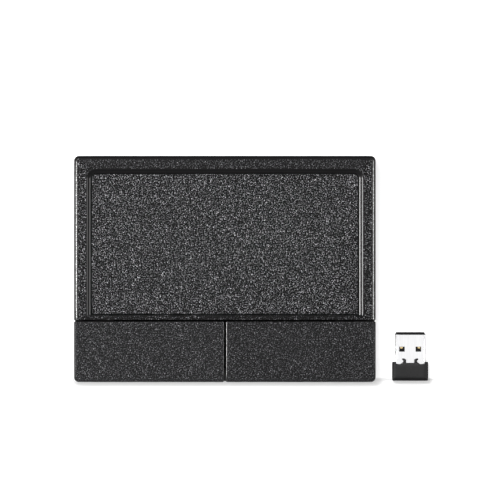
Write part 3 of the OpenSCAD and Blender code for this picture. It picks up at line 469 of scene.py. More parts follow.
def grained_plastic(name, level, count, depth_mm):
    """Black plastic with a sparkling mould grain.

    The grain mark says how strong the pebbles are and the tone mark how light they are on the whole. The
    sparkle is painted: the brightest pebbles are painted glints, and the tone mark also carries painted
    light and shade by side and in gaps. Where the gloss mark is one, the plastic is smooth, near black and
    shines.
    """
    look = Finish(name, Specular_IOR_Level=0.1, Coat_Roughness=0.17, Coat_IOR=2.2)
    tree = look.tree
    strong, gloss, tone = look.mark("grain"), look.mark("gloss"), look.mark("tone")
    height, shade = look.use(PEBBLES, Count=count, Strength=strong)
    drift = look.use(DRIFT, Size=35.0)["Drift"]
    worn = look.use(MARKS, Amount=0.35)["Mark"]
    light = calc(tree, "MULTIPLY", tone, level)
    light = calc(tree, "MULTIPLY", light, between(tree, drift, 0, 1, 0.96, 1.04))
    # The pebbles' shade lifts the colour to near white in spots: painted glints on black plastic
    light = calc(tree, "MULTIPLY", light, shade, clamp=True)
    colour = blend_colour(tree, light, (0.0015, 0.0015, 0.0016), (0.90, 0.90, 0.945))
    colour = blend_colour(tree, gloss, colour, (0.005, 0.005, 0.005))
    roughness = calc(tree, "ADD", between(tree, drift, 0, 1, 0.52, 0.6), calc(tree, "MULTIPLY", worn, -0.1))
    coat = calc(tree, "MULTIPLY", gloss, calc(tree, "MULTIPLY", shade, 0.9, clamp=True))
    look.set(Base_Color=colour, Roughness=roughness, Coat_Weight=coat)
    flat = calc(tree, "MULTIPLY", strong, calc(tree, "SUBTRACT", 1.0, gloss))
    look.bump(calc(tree, "MULTIPLY", height, flat), depth_mm)
    return look.material


def satin_plastic(name, colour, grain=2600.0, rough=0.5, depth_mm=0.01, shine=0.45):
    """Fine spark-eroded plastic with a slow change of sheen and a few rubbed marks."""
    look = Finish(name, Specular_IOR_Level=shine)
    tree = look.tree
    height, tone = look.use(GRAIN, Grain=grain, Sharp=0.2)
    drift = look.use(DRIFT, Size=30.0)["Drift"]
    worn = look.use(MARKS, Amount=0.6)["Mark"]
    base = blend_colour(tree, tone, tinted(colour, 0.8), tinted(colour, 1.25))
    base = blend_colour(tree, calc(tree, "MULTIPLY", worn, 0.35), base, tinted(colour, 1.9, 0.01))
    sheen = between(tree, drift, 0, 1, rough - 0.06, rough + 0.06)
    look.set(Base_Color=base, Roughness=calc(tree, "ADD", sheen, calc(tree, "MULTIPLY", worn, -0.12)))
    look.bump(height, depth_mm)
    return look.material


def rubber_pad(name, colour):
    """Soft foot rubber: fine pebbles, dusty in the hollows."""
    look = Finish(name, IOR=1.5)
    tree = look.tree
    height, tone = look.use(GRAIN, Grain=1900.0, Sharp=0.2)
    drift = look.use(DRIFT, Size=120.0)["Drift"]
    dust = calc(tree, "MULTIPLY", drift, calc(tree, "SUBTRACT", 1.0, tone))
    base = blend_colour(tree, dust, colour, tinted(colour, 2.6))
    look.set(Base_Color=base, Roughness=between(tree, tone, 0, 1, 0.9, 0.72))
    look.bump(height, 0.02)
    return look.material


def metal(name, colour, lines=6000.0, rough=(0.18, 0.34), depth_mm=0.003, bright=1.0):
    """Plated or drawn metal.

    Brushed lines move its colour and roughness, slow drift its colour and marks its roughness, and where the
    cut mark is one the metal is painted near black, as painted shade in the plug's mouth.
    """
    look = Finish(name, Metallic=bright)
    tree = look.tree
    line = look.use(LINES, Lines=lines)["Line"]
    drift = look.use(DRIFT, Size=90.0)["Drift"]
    worn = look.use(MARKS, Amount=0.5)["Mark"]
    base = blend_colour(tree, between(tree, line, 0.35, 0.65), tinted(colour, 0.9), colour)
    base = blend_colour(tree, calc(tree, "MULTIPLY", drift, 0.12), base, tinted(colour, 0.85))
    # Painted shade: the metal turns near black where the cut mark is one, at the plug's mouth
    base = blend_colour(tree, look.mark("cut"), base, tinted(colour, 0.06))
    sheen = between(tree, line, 0.3, 0.7, *rough)
    look.set(Base_Color=base, Roughness=calc(tree, "ADD", sheen, calc(tree, "MULTIPLY", worn, 0.06)))
    look.bump(line, depth_mm)
    return look.material


def circuit_board(name):
    """Black solder mask over copper: tracks where a wave is high, in one of two directions, under lacquer."""
    look = Finish(name, Specular_IOR_Level=0.06)
    tree = look.tree
    drift = look.use(DRIFT, Size=200.0)["Drift"]
    tone = look.use(GRAIN, Grain=3000.0)["Tone"]
    where = between(tree, drift, 0.35, 0.65)
    tracks = []
    for turn, part in ((0.0, where), (math.pi / 2, calc(tree, "SUBTRACT", 1.0, where))):
        turned = add(tree, "ShaderNodeMapping", ("Vector", look.place), Rotation=(0, 0, turn))
        wave = add(tree, "ShaderNodeTexWave", ("Vector", turned.outputs[0]), Scale=110.0, Distortion=3.0,
                   Detail=1.0, Detail_Scale=0.4)
        tracks.append(calc(tree, "MULTIPLY", between(tree, wave.outputs["Fac"], 0.62, 0.7), part))
    track = calc(tree, "ADD", *tracks, clamp=True)
    base = blend_colour(tree, track, (0.0025, 0.0035, 0.003), (0.008, 0.010, 0.009))
    base = blend_colour(tree, calc(tree, "MULTIPLY", tone, 0.15), base, (0.0015, 0.002, 0.002))
    look.set(Base_Color=base, Roughness=between(tree, track, 0, 1, 0.75, 0.6))
    look.bump(track, 0.02)
    return look.material


def flat_cable(name):
    """White film over flat wires: a row of ribs across X, slightly grey between them."""
    look = Finish(name, IOR=1.5)
    tree = look.tree
    wave = add(tree, "ShaderNodeTexWave", ("Vector", look.place), Scale=160.0, bands_direction="X")
    rib = between(tree, wave.outputs["Fac"], 0.3, 0.7)
    drift = look.use(DRIFT, Size=120.0)["Drift"]
    base = blend_colour(tree, rib, (0.62, 0.62, 0.6), (0.86, 0.86, 0.84))
    look.set(Base_Color=base, Roughness=between(tree, drift, 0, 1, 0.3, 0.45))
    look.bump(rib, 0.05)
    return look.material


# Places along a cell where its sleeve ends and its band runs, and how soft their edges are
SLEEVE_END, BAND_FROM, BAND_TO, PRINT_EDGE = 21.2 * MM, 9.5 * MM, 13.0 * MM, 0.1 * MM


def cell_sleeve(name):
    """Printed sleeve on a cell: a plain blue field, one pale band, and bare metal at the ends, told by X."""
    look = Finish(name)
    tree = look.tree
    along = add(tree, "ShaderNodeSeparateXYZ", ("Vector", look.place)).outputs["X"]
    ends = between(tree, calc(tree, "ABSOLUTE", along), SLEEVE_END, SLEEVE_END + 2 * PRINT_EDGE)
    band = calc(tree, "MULTIPLY", between(tree, along, BAND_FROM, BAND_FROM + PRINT_EDGE),
                between(tree, along, BAND_TO + PRINT_EDGE, BAND_TO))
    drift = look.use(DRIFT, Size=100.0)["Drift"]
    line = look.use(LINES, Lines=3000.0)["Line"]
    base = blend_colour(tree, drift, (0.03, 0.09, 0.2), (0.05, 0.13, 0.27))
    base = blend_colour(tree, band, base, (0.62, 0.62, 0.6))
    base = blend_colour(tree, ends, base, (0.66, 0.65, 0.62))
    look.set(Base_Color=base, Metallic=ends, Roughness=between(tree, line, 0.3, 0.7, 0.2, 0.32))
    look.bump(line, 0.004)
    return look.material


SHELL = grained_plastic("grained_shell_with_painted_light", level=0.0627, count=1700.0, depth_mm=0.02)
TOUCH = grained_plastic("grained_touch_with_painted_light", level=0.0458, count=1700.0, depth_mm=0.03)
CASE = satin_plastic("satin_case", (0.011, 0.011, 0.0113), shine=0.3)
DOOR = satin_plastic("satin_door", (0.0095, 0.0095, 0.0098), grain=2200.0, rough=0.46, shine=0.3)
KNOB = satin_plastic("satin_knob", (0.020, 0.020, 0.021), grain=3200.0, rough=0.38)
HOUSING = satin_plastic("satin_housing", (0.008, 0.008, 0.0083), rough=0.32, depth_mm=0.004, shine=0.2)
FEET = rubber_pad("foot_rubber", (0.022, 0.022, 0.023))
BOARD = circuit_board("solder_mask")
CHIP = satin_plastic("moulded_chip", (0.008, 0.008, 0.0085), 5200.0, rough=0.6, depth_mm=0.004, shine=0.12)
IVORY = satin_plastic("ivory_connector", (0.66, 0.62, 0.5), grain=4000.0, rough=0.42, depth_mm=0.003)
BROWN = satin_plastic("brown_plunger", (0.2, 0.09, 0.035), grain=4000.0, rough=0.4, depth_mm=0.003)
CABLE = flat_cable("white_film")
TAPE = satin_plastic("pale_tape", (0.7, 0.67, 0.58), grain=2500.0, rough=0.6, depth_mm=0.006)
STEEL = metal("plated_steel", (0.56, 0.56, 0.57))
SPRING = metal("nickel_spring", (0.66, 0.64, 0.6), lines=4000.0)
PLUG = metal("bright_plug", (0.88, 0.88, 0.89), 5200.0, rough=(0.07, 0.13), depth_mm=0.0006, bright=0.7)
GOLD = metal("gold_contact", (0.8, 0.63, 0.34), lines=7000.0, rough=(0.15, 0.28))
CELL = cell_sleeve("cell_sleeve")
RED = satin_plastic("red_lead", (0.45, 0.025, 0.018), grain=3500.0, rough=0.35, depth_mm=0.003)
BLACK = satin_plastic("black_lead", (0.015, 0.015, 0.016), grain=3500.0, rough=0.35, depth_mm=0.003)

FINISHES = {
    CASE: ["bottom_case"],
    DOOR: ["battery_door"],
    KNOB: ["power_switch_knob"],
    HOUSING: ["receiver_housing"],
    SHELL: ["top_frame", "left_button", "right_button"],
    TOUCH: ["touch_surface"],
    FEET: ["rubber_feet"],
    BOARD: ["sensor_board", "main_board", "receiver_board"],
    CHIP: ["touch_controller", "radio_chip", "receiver_chip", "receiver_tongue", "left_switch_base",
           "right_switch_base"],
    IVORY: ["sensor_connector", "board_connector", "power_switch_lever"],
    BROWN: ["left_switch_plunger", "right_switch_plunger"],
    CABLE: ["sensor_cable"],
    TAPE: ["touch_adhesive"],
    STEEL: ["crystal", "left_switch_cover", "right_switch_cover", "power_switch_body", "board_screws",
            "case_screws"],
    SPRING: ["positive_contact", "negative_contact", "jumper_contact"],
    PLUG: ["receiver_shell"],
    GOLD: ["receiver_contacts"],
    CELL: ["front_cell", "rear_cell"],
    RED: ["positive_lead"],
    BLACK: ["negative_lead"],
}
for finish, names in FINISHES.items():
    for name in names:
        nodes[name].data.materials.clear()
        nodes[name].data.materials.append(finish)


# Frame with its window

COVE_STEPS = 15
# Flat strips between an edge and the full grain, and where a wall's own look starts under its round edge
RIM_FLAT, RAIL_FLAT, BUTTON_FLAT = 0.08, 0.05, 0.06
WALL_START, BUTTON_WALL_START = 0.3, 0.2
# Cuts along half the rail, from its end, with some close together near where its lower edge steps up
RAIL_SPAN, RAIL_CUTS = 119.0, np.array([0.5, 1.98, 2.02, 8.0, 30.0])


def frame_shell():
    """The frame as one closed skin.

    Ring follows ring from the window's lower edge up its curved wall, over the rim, down the outside and up
    the inside. The curved wall is half a cosine wave, flat at both ends, and along the rail it is upright.
    Outside rings move in from the outline by a quarter circle, wide at the sides and the rear and fine along
    the rail.
    """
    rail_cuts = np.concatenate([RAIL_CUTS, [RAIL_SPAN / 2], RAIL_SPAN - RAIL_CUTS[::-1]]) / RAIL_SPAN
    steps = (EVEN, EVEN, EVEN, rail_cuts)
    rings, grain, gloss, tone = [], [], [], []

    def add_ring(points, facing, rough, shine, own_tone_and_shade):
        rings.append(points)
        grain.append(rough * share(facing, *FRAME_GRAIN_AND_GLINT))
        gloss.append(share(facing, *np.broadcast_to(shine, 4)))
        tone.append(share(facing, *np.broadcast_to(own_tone_and_shade, 4)))

    def window_ring(out, w, rough, shine):
        half, r = WINDOW_HALF + out, WINDOW_R + out
        at, facing = ring(half, WINDOW_REAR + out, -half, WINDOW_FRONT, (r, r, 0, 0), steps)
        # The grained rim takes the side tones with their painted light; the smooth curved wall takes painted
        # shade
        own_tone_and_shade = FRAME_TONE_AND_SHADE if rough else PAINTED_SHADE_TONE
        add_ring(on_deck(at[:, 0], at[:, 1], w), facing, rough, shine, own_tone_and_shade)

    def outer_ring(inset, depth, rough, shine=0.0, own_tone_and_shade=FRAME_TONE_AND_SHADE):
        """Lies at a depth under the top, or at the lower edge where depth is None."""
        side, rear, front = inset
        half = HALF_W - side
        r_rear, r_front = corner_r(PLAN_R, side, rear, REAR_LEAST_R), corner_r(SMALL_R, side, front)
        radii = (r_rear, r_rear, r_front, r_front)
        at, facing = ring(half, HALF_D - rear, -half, FRAME_FRONT + front, radii, steps)
        if depth is None:
            rail = (np.abs(at[:, 0]) < HALF_W - WALL) & (facing[:, 1] < -0.5)
            z = np.where(rail, RAIL_BOTTOM, PART_Z)
        else:
            z = top_z(at[:, 1]) - share(facing, depth[0], depth[1], depth[0], depth[2])
        add_ring(np.concatenate([at, z[:, None]], -1), facing, rough, shine, own_tone_and_shade)

    window_ring(0, -DECK_T, 0.0, WINDOW_GLOSS)
    for t in np.linspace(0, 1, COVE_STEPS):
        shine = np.array(WINDOW_GLOSS) * (1 - COVE_FADE * t)
        window_ring(COVE_W * t, -RECESS * (1 + math.cos(math.pi * t)) / 2, 0.0, shine)
    window_ring(COVE_W + RIM_FLAT, 0, 1.0, 0.0)
    wide, fine = round_edge(RIM_R), round_edge(FINE_R)
    outer_ring((RIM_R + RIM_FLAT, RIM_R + RIM_FLAT, FINE_R + RAIL_FLAT), (0, 0, 0), 1.0)
    # The rim's round edge takes painted shade under its gloss
    for i, ((out, down), (rail_out, rail_down)) in enumerate(zip(wide, fine)):
        shine = np.array(RIM_GLOSS) * (1.0 if i < len(wide) / 2 else LOW_RIM_GLOSS)
        outer_ring((out, out, rail_out), (down, down, rail_down), EDGE_GRAIN, shine, PAINTED_SHADE_TONE)
    # The outer walls keep the side tones; the rail's wall, in the gap before the buttons, gets painted shade
    wall_tone_and_shade = (*FRAME_TONE_AND_SHADE[:3], PAINTED_SHADE_TONE)
    below = (RIM_R + WALL_START, RIM_R + WALL_START, FINE_R + WALL_START)
    outer_ring((0, 0, 0), below, WALL_GRAIN, own_tone_and_shade=wall_tone_and_shade)
    outer_ring((0, 0, 0), None, WALL_GRAIN, own_tone_and_shade=wall_tone_and_shade)
    inside, under = (WALL, WALL, RAIL_WALL), DECK_T / math.cos(TILT)
    # The hidden inside takes painted shade
    outer_ring(inside, None, HIDDEN_GRAIN, own_tone_and_shade=PAINTED_SHADE_TONE)
    outer_ring(inside, (under, under, under), HIDDEN_GRAIN, own_tone_and_shade=PAINTED_SHADE_TONE)
    marks = {"grain": np.stack(grain), "gloss": np.stack(gloss), "tone": np.stack(tone)}
    return [patch(np.stack(rings), close_rows=True, close_cols=True, **marks)]


make_piece("frame_shell", frame_shell(), "pad", SHELL, ["top_frame"])


# Touch plate

TOUCH_MIDDLE, TOUCH_FLAT = 20.0, 1.0
# The pole, two rings on the flat and two on the round edge lie in the light; the rings beyond, down the
# plate's edge, take painted shade
TOUCH_LIT = 5


def touch_plate():
    """The plate in the window: rings from the middle of its top over a round edge to the middle below."""
    edge = round_edge(TOUCH_EDGE_R, SMALL_EDGE_RINGS)
    inset = np.concatenate([[TOUCH_MIDDLE, TOUCH_FLAT], edge[:, 0], edge[::-1, 0], [TOUCH_MIDDLE]])
    depth = np.concatenate([[0, 0], edge[:, 1], TOUCH_T - edge[::-1, 1], [TOUCH_T]])
    half, rear, front = WINDOW_HALF - TOUCH_GAP, WINDOW_REAR - TOUCH_GAP, WINDOW_FRONT + TOUCH_GAP
    rings = []
    for i, d in zip(inset, depth):
        r_rear = corner_r(WINDOW_R - TOUCH_GAP, i, i, SMALL_R)
        at, _ = ring(half - i, rear - i, i - half, front + i, (r_rear, r_rear, SMALL_R, SMALL_R))
        rings.append(on_deck(at[:, 0], at[:, 1], -RECESS - d))
    rings = capped(np.stack(rings))
    grain, tone = np.full(rings.shape[:2], TOUCH_GRAIN), np.ones(rings.shape[:2])
    # Painted shade and weaker grain down the plate's edge
    grain[TOUCH_LIT:], tone[TOUCH_LIT:] = TOUCH_EDGE_GRAIN, PAINTED_SHADE_TONE
    return [patch(rings, close_cols=True, grain=grain, gloss=0.0, tone=tone)]


make_piece("touch_plate", touch_plate(), "pad", TOUCH, ["touch_surface"])


# Buttons

BUTTON_MIDDLE = 6.0


def button_shell(side):
    """A button as a closed skin.

    Rings run from the middle of its top over its edges, down its skirt and up its hollow. Each side has its
    own quarter circle: wide at the front and the outside, fine at the rear and at the split, where the right
    button's is wider than the left one's.
    """
    split_r = SPLIT_R if side > 0 else FINE_R
    edges = [round_edge(r) for r in (BUTTON_RIM_R, FINE_R, split_r, FRONT_R)]
    own_tone_and_shade = BUTTON_TONE_AND_SHADE[side > 0]
    rings, grain, gloss, tone = [], [], [], []

    def button_ring(inset, depth, rough, shine=0.0, z=None, inner=own_tone_and_shade):
        """Lies at a depth under the top on each side, or at the heights in z."""
        outside, behind, inside, ahead = inset
        radii = (
            corner_r(SMALL_R, outside, behind),
            corner_r(SMALL_R, inside, behind),
            corner_r(SPLIT_CORNER_R, inside, ahead, SPLIT_LEAST_R),
            corner_r(PLAN_R, outside, ahead, FRONT_LEAST_R),
        )
        at, facing = ring(HALF_W - outside, BUTTON_REAR - behind, SPLIT / 2 + inside, -HALF_D + ahead, radii)
        high = top_z(at[:, 1]) - share(facing, *depth) if z is None else share(facing, *z)
        rings.append(np.stack([side * at[:, 0], at[:, 1], high], -1))
        grain.append(np.full(len(at), rough * BUTTON_GRAIN))
        gloss.append(shine * share(facing, *BUTTON_GLOSS))
        # The rear and the split side take inner's tone: the button's own on top, painted shade on the walls
        # in the gaps
        tone.append(share(facing, own_tone_and_shade, inner, inner, own_tone_and_shade))

    level, outline = (0, 0, 0, 0), (0, 0, 0, 0)
    button_ring((BUTTON_MIDDLE,) * 4, level, 1.0)
    button_ring(tuple(edge[0, 0] + BUTTON_FLAT for edge in edges), level, 1.0)
    for pairs in zip(*edges):
        inset, depth = zip(*pairs)
        button_ring(inset, depth, BUTTON_SIDE_GRAIN, 1.0)
    below = tuple(edge[-1, 1] + BUTTON_WALL_START for edge in edges)
    # Walls under the edges: painted shade at the rear and the split
    button_ring(outline, below, BUTTON_SIDE_GRAIN, inner=PAINTED_SHADE_TONE)
    skirt = (SKIRT_Z, INNER_SKIRT_Z, INNER_SKIRT_Z, SKIRT_Z)
    button_ring(outline, None, BUTTON_SIDE_GRAIN, z=skirt, inner=PAINTED_SHADE_TONE)
    hollow = (WALL, INNER_WALL, INNER_WALL, WALL)
    button_ring(hollow, None, BUTTON_SIDE_GRAIN, z=skirt, inner=PAINTED_SHADE_TONE)
    button_ring(hollow, (WALL,) * 4, BUTTON_SIDE_GRAIN, inner=PAINTED_SHADE_TONE)
    rings = capped(np.stack(rings))
    grain, gloss, tone = (np.stack([m[0], *m, m[-1]]) for m in (grain, gloss, tone))
    return [patch(rings, close_cols=True, grain=grain, gloss=gloss, tone=tone)]


make_piece("left_button_shell", button_shell(-1), "left_button", SHELL, ["left_button"])
make_piece("right_button_shell", button_shell(1), "right_button", SHELL, ["right_button"])


# Receiver


def rounded_block(right, rear, left, front, low, high, r, plan_r):
    """A block with round edges: a quarter circle at the foot, a wall, and a quarter circle at the top."""
    edge = round_edge(r, SMALL_EDGE_RINGS)
    foot, top = edge + [0, low], edge[::-1] * [1, -1] + [0, high]
    rings = []
    for inset, z in np.concatenate([foot, top]):
        radii = [corner_r(plan_r, inset, inset, BLOCK_LEAST_R)] * 4
        at, _ = ring(right - inset, rear - inset, left + inset, front + inset, radii)
        rings.append(np.concatenate([at, np.full((len(at), 1), z)], -1))
    return patch(capped(np.stack(rings)), close_cols=True)


def far_edge(x):
    """How far the housing's far edge is cut back over the plug.

    The cut is an ellipse over each outer half of the plug and shallow and straight between the two tabs.
    """
    lobe = NOTCH_L * np.sqrt(np.maximum(1 - ((np.abs(x) - NOTCH_X) / NOTCH_HALF) ** 2, 0))
    return np.where(np.abs(x) < TAB_X - TAB_W / 2, MIDDLE_CUT, lobe)


def plug_tab(sign, top):
    """One tab on the plug's top: a stem that comes out of the housing and an arm across its end."""
    x, end = sign * TAB_X, RX_L + TAB_L
    low, high, radii = top - TAB_SINK, top + TAB_H, (TAB_EDGE_R, TAB_PLAN_R)
    right, left = x + TAB_W / 2, x - TAB_W / 2
    stem = rounded_block(right, end, left, RX_L - TAB_ROOT, low, high, *radii)
    right, left = x + sign * ARM_SHIFT + ARM_W / 2, x + sign * ARM_SHIFT - ARM_W / 2
    arm = rounded_block(right, end + ARM_FAR, left, end - ARM_NEAR, low, high - ARM_DROP, *radii)
    return [stem, arm]


def receiver_housing():
    """The receiver's cap and its two tabs.

    Rings run from the middle of its underside up its round edges, back over the plug's top along the cut far
    edge, and up to the middle of its top.
    """
    far_cuts = even_cuts(FAR_STEPS)
    edges = [tuple(zip(*pairs)) for pairs in zip(*(round_edge(r) for r in (RX_SIDE_R, RX_END_R, EDGE_R)))]
    rings = []

    def level(inset, z, cut=0.0):
        """Insets and heights are those of the sides, the near end and the far end."""
        side, near, far = inset
        half = RX_W / 2 - side
        r_far, r_near = corner_r(RX_FAR_R, side, far), corner_r(RX_CORNER_R, side, near, NEAR_LEAST_R)
        radii, steps = (r_far, r_far, r_near, r_near), (EVEN, far_cuts, EVEN, EVEN)
        at, facing = ring(half, RX_L - far, -half, near, radii, steps)
        at[:, 1] -= cut * np.maximum(facing[:, 1], 0) ** 2 * far_edge(at[:, 0])
        rings.append(np.concatenate([at, share(facing, z[0], z[2], z[0], z[1])[:, None]], -1))

    for inset, depth in edges:
        level(inset, depth)
    top = PLUG_Z + PLUG_H
    ledge = (RX_H - RX_SIDE_R, RX_H - RX_END_R, top - RX_LAP)
    level((0, 0, 0), ledge)
    level((0, 0, 0), ledge, 1.0)
    for inset, depth in edges[::-1]:
        level(inset, tuple(RX_H - d for d in depth), 1.0)
    level((RX_TOP_IN,) * 3, (RX_H,) * 3)
    cap = patch(capped(np.stack(rings)), close_cols=True)
    return moved([cap, *plug_tab(-1, top), *plug_tab(1, top)], [RX_X, RX_Y, 0])


make_piece("receiver_cap", receiver_housing(), "receiver", HOUSING, ["receiver_housing"])


# Steps across the plug and across a window, how square to an axis a flat side faces, and a hair's breadth
PLUG_STEPS, HOLE_STEPS, SQUARE, HAIR = 23, 5, 0.99, 0.01


def receiver_shell():
    """The plug's folded steel tube: a rectangle with round corners, carried straight along Y.

    It is made once outside and once inside, less the four windows, and strips close the ends and the windows'
    walls. At its mouth the outside draws in and the inside opens, by the square of the way along the lip.
    """
    y0, y1 = RX_L - PLUG_ROOT, RX_L + PLUG_L
    hole_y, flat = y1 - HOLE_IN, PLUG_W / 2 - PLUG_R
    hole_across = [np.linspace(x - HOLE_W / 2, x + HOLE_W / 2, HOLE_STEPS) for x in (-HOLE_X, HOLE_X)]
    hole_along = np.linspace(hole_y - HOLE_L / 2, hole_y + HOLE_L / 2, HOLE_STEPS)
    across = np.unique(np.concatenate([np.linspace(-flat, flat, PLUG_STEPS), *hole_across]))
    along = np.unique(np.concatenate([[y0, y0 + 1], y1 - MOUTH_CUTS, hole_along]))
    cuts = ((across[-1] - across) / (across[-1] - across[0]))[1:-1]
    steps = (EVEN, cuts, EVEN, 1 - cuts[::-1])

    def section(inset):
        half, high = PLUG_W / 2 - inset, PLUG_H / 2 - inset
        return ring(half, high, -half, -high, [PLUG_R - inset] * 4, steps)

    outer, facing = section(0.0)
    inner, _ = section(SHELL_T)
    level = np.abs(facing[:, 1]) > SQUARE
    inner[:, 0] = np.where(level, outer[:, 0], inner[:, 0])
    lip = LIP_IN * np.clip((along - y1 + LIP_L) / LIP_L, 0, 1) ** 2
    # The cut mark covers the lip at the mouth, outside, inside and its end, which get painted shade
    cut = (along > y1 - LIP_L - HAIR).astype(float)[:, None]

    def skin(at, draw):
        x, y = np.broadcast_arrays(at[None, :, 0], along[:, None])
        shrink = 1 - draw * lip[:, None] / (PLUG_H / 2)
        return np.stack([x, y, at[None, :, 1] * shrink], -1)

    out_grid, in_grid = skin(outer, 1.0), skin(inner, -LIP_OPEN)
    mid = (out_grid[:-1] + out_grid[1:]) / 2
    mid = (mid + np.roll(mid, -1, 1)) / 2
    hole = (np.abs(np.abs(mid[..., 0]) - HOLE_X) < HOLE_W / 2) & (np.abs(mid[..., 1] - hole_y) < HOLE_L / 2)
    hole &= level & np.roll(level, -1)
    patches = [patch(grid, close_cols=True, keep=~hole, cut=cut) for grid in (out_grid, in_grid)]
    for row in (0, -1):
        patches.append(patch(np.stack([out_grid[row], in_grid[row]]), close_cols=True, cut=cut[row]))
    rows, cols = np.nonzero(hole)
    for side in (-1, 1):
        for up in (1, -1):
            this = (np.sign(mid[rows, cols, 0]) == side) & (np.sign(mid[rows, cols, 2]) == up)
            r, c = rows[this], cols[this]
            r0, r1, c0, c1 = r.min(), r.max() + 1, c.min(), c.max() + 1
            loop = [(r0, k) for k in range(c0, c1)] + [(k, c1) for k in range(r0, r1)]
            loop += [(r1, k) for k in range(c1, c0, -1)] + [(k, c0) for k in range(r1, r0, -1)]
            at = tuple(np.array(loop).T)
            patches.append(patch(np.stack([out_grid[at], in_grid[at]]), close_cols=True))
    return moved(patches, [RX_X, RX_Y, PLUG_Z + PLUG_H / 2])


make_piece("receiver_plug", receiver_shell(), "receiver", PLUG, ["receiver_shell"])


# Underside


def rubber_feet():
    """Four pads: blocks with round edges and corners."""
    half_w, half_l = FOOT_W / 2, FOOT_L / 2
    return [
        rounded_block(x + half_w, y + half_l, x - half_w, y - half_l, 0.0, FOOT_TOP, FOOT_EDGE_R, FOOT_R)
        for x, y in FOOT_AT
    ]


make_piece("foot_pads", rubber_feet(), "pad", FEET, ["rubber_feet"])


RIM_RINGS, FACE_RINGS, TURN_STEPS = 5, 22, 72


def case_screws():
    """Four screws, each a profile turned round Z: face, round rim, seat, shank and tip.

    The face sinks into a cross: two crossed bars with soft walls, deepest in the middle.
    """
    rim = round_edge(SCREW_RIM_R, RIM_RINGS)
    face = np.linspace(0, SCREW_HEAD_R - SCREW_RIM_R, FACE_RINGS)
    shank_r = [SCREW_HEAD_R, SCREW_SHANK_R, SCREW_SHANK_R, SCREW_TIP_R, 0.0]
    shank_z = [SCREW_SEAT_Z, SCREW_SEAT_Z, SCREW_END_Z - SCREW_TIP_L, SCREW_END_Z, SCREW_END_Z]
    r = np.concatenate([face, SCREW_HEAD_R - rim[:, 0], shank_r])
    z = np.concatenate([face * 0 + SCREW_FACE_Z, SCREW_FACE_Z + rim[:, 1], shank_z])
    turn = np.linspace(0, 2 * math.pi, TURN_STEPS + 1)[:-1]
    x, y = r[:, None] * np.cos(turn), r[:, None] * np.sin(turn)

    def bar(a, b):
        wide = np.clip((CROSS_HALF - np.abs(a)) / CROSS_WALL, 0, 1)
        long = np.clip((CROSS_REACH - np.abs(b)) / CROSS_END, 0, 1)
        return wide * wide * (3 - 2 * wide) * long

    deep = CROSS_DEEP - CROSS_RISE * np.hypot(x, y) / CROSS_REACH
    cross = np.maximum(bar(x, y), bar(y, x)) * deep
    cross[len(face):] = 0
    one = np.stack([x, y, z[:, None] + cross], -1)
    return [patch(one + [sx, sy, 0], close_cols=True) for sx, sy in SCREW_AT]


make_piece("case_screw_set", case_screws(), "pad", STEEL, ["case_screws"])


# Stage, light and camera

FLOOR_HALF, FLOOR_Z = 3.0, -0.05 * MM
# The floor's own light near and far, where it changes, and a painted shadow along the pad's front edge,
# where its own light dips
GLOW_NEAR, GLOW_FAR, GLOW_FROM, GLOW_TO = 0.62, 1.0, 0.1, 0.45
PAINTED_SHADOW_DEPTH, PAINTED_SHADOW_STARTS, PAINTED_SHADOW_ENDS = 0.46, (-0.003, -0.0002), (0.002, 0.001)
SKY, UNDER_SKY, HAZE = 0.15, 1.0, 0.01
CAMERA_AT, CAMERA_SPAN = (0.0100, 0.00754, 0.6), 0.19888


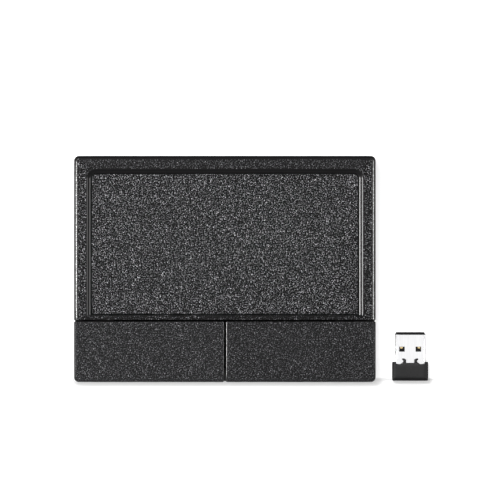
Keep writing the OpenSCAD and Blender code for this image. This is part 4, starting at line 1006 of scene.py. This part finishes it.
def stage_floor():
    """A plain pale floor that keeps the shadow.

    To the camera it adds its own light, so that it reads as white: more further out, where the lamps reach
    less. Along the pad's front edge, where the shadow is darkest, it adds less, which paints that shadow
    darker still.
    """
    corners = [(-1, -1), (1, -1), (1, 1), (-1, 1)]
    mesh = bpy.data.meshes.new("floor")
    mesh.from_pydata([(x * FLOOR_HALF, y * FLOOR_HALF, FLOOR_Z) for x, y in corners], [], [(0, 1, 2, 3)])
    look = Finish("pale_floor", Roughness=0.9, Specular_IOR_Level=0.0, Emission_Color=(1, 1, 1, 1))
    tree = look.tree
    drift = look.use(DRIFT, Size=3.0)["Drift"]
    away = add(tree, "ShaderNodeVectorMath", ("Vector", look.place), operation="LENGTH").outputs["Value"]
    along = add(tree, "ShaderNodeSeparateXYZ", ("Vector", look.place)).outputs["Y"]
    front = -HALF_D * MM
    # A painted shadow: a thin strip along the pad's front edge where the floor's own light is lowered
    starts, ends = (between(tree, along, front + a, front + b) for a, b in (PAINTED_SHADOW_STARTS, PAINTED_SHADOW_ENDS))
    painted_shadow = calc(tree, "MULTIPLY", calc(tree, "MULTIPLY", starts, ends), PAINTED_SHADOW_DEPTH)
    own_light = calc(tree, "SUBTRACT", between(tree, away, GLOW_FROM, GLOW_TO, GLOW_NEAR, GLOW_FAR), painted_shadow)
    seen = tree.nodes.new("ShaderNodeLightPath").outputs["Is Camera Ray"]
    look.set(
        Base_Color=blend_colour(tree, drift, (0.84, 0.84, 0.84), (0.86, 0.86, 0.86)),
        Emission_Strength=calc(tree, "MULTIPLY", seen, own_light),
    )
    mesh.materials.append(look.material)
    floor = bpy.data.objects.new("floor", mesh)
    bpy.context.scene.collection.objects.link(floor)


def soft_box(name, at, towards, width, height, watts):
    """A flat lamp at a place, facing another."""
    lamp = bpy.data.lights.new(name, "AREA")
    lamp.shape, lamp.size, lamp.size_y, lamp.energy = "RECTANGLE", width, height, watts
    box = bpy.data.objects.new(name, lamp)
    bpy.context.scene.collection.objects.link(box)
    box.location = at
    back = np.array(at) - np.array(towards)
    box.rotation_euler = Vector(back).to_track_quat("Z", "Y").to_euler()


def studio():
    """Dim even world, white under the horizon as the floor is, and four lamps.

    One is soft and high at the rear, two slim ones at the sides draw the bright lines along the edges, and
    one is a pale panel overhead.
    """
    world = bpy.data.worlds.new("studio")
    world.use_nodes = True
    tree = world.node_tree
    sky = tree.nodes["Background"]
    sky.inputs[0].default_value = (1, 1, 1, 1)
    way = tree.nodes.new("ShaderNodeTexCoord").outputs["Generated"]
    up = add(tree, "ShaderNodeSeparateXYZ", ("Vector", way)).outputs["Z"]
    tree.links.new(between(tree, up, -HAZE, 0.0, UNDER_SKY, SKY), sky.inputs[1])
    bpy.context.scene.world = world
    soft_box("rear_lamp", (-0.07, 0.14, 0.6), (0, 0, 0), width=0.22, height=0.22, watts=2.75)
    soft_box("left_strip", (-0.42, -0.09, 0.43), (0, -0.09, 0), width=0.11, height=0.36, watts=1.6)
    soft_box("right_strip", (0.44, -0.085, 0.43), (0, -0.085, 0), width=0.11, height=0.28, watts=0.85)
    soft_box("top_panel", (0.05, 0.12, 1.2), (0.05, 0.12, 0), width=0.6, height=0.48, watts=0.84)


def overhead_camera():
    """Straight down and without perspective, as the photograph is, over the middle of pad and receiver."""
    camera = bpy.data.cameras.new("camera")
    camera.type, camera.ortho_scale = "ORTHO", CAMERA_SPAN
    eye = bpy.data.objects.new("camera", camera)
    eye.location = CAMERA_AT
    bpy.context.scene.collection.objects.link(eye)
    bpy.context.scene.camera = eye


stage_floor()
studio()
overhead_camera()
bpy.context.scene.view_settings.view_transform = "Standard"

bpy.context.view_layer.update()
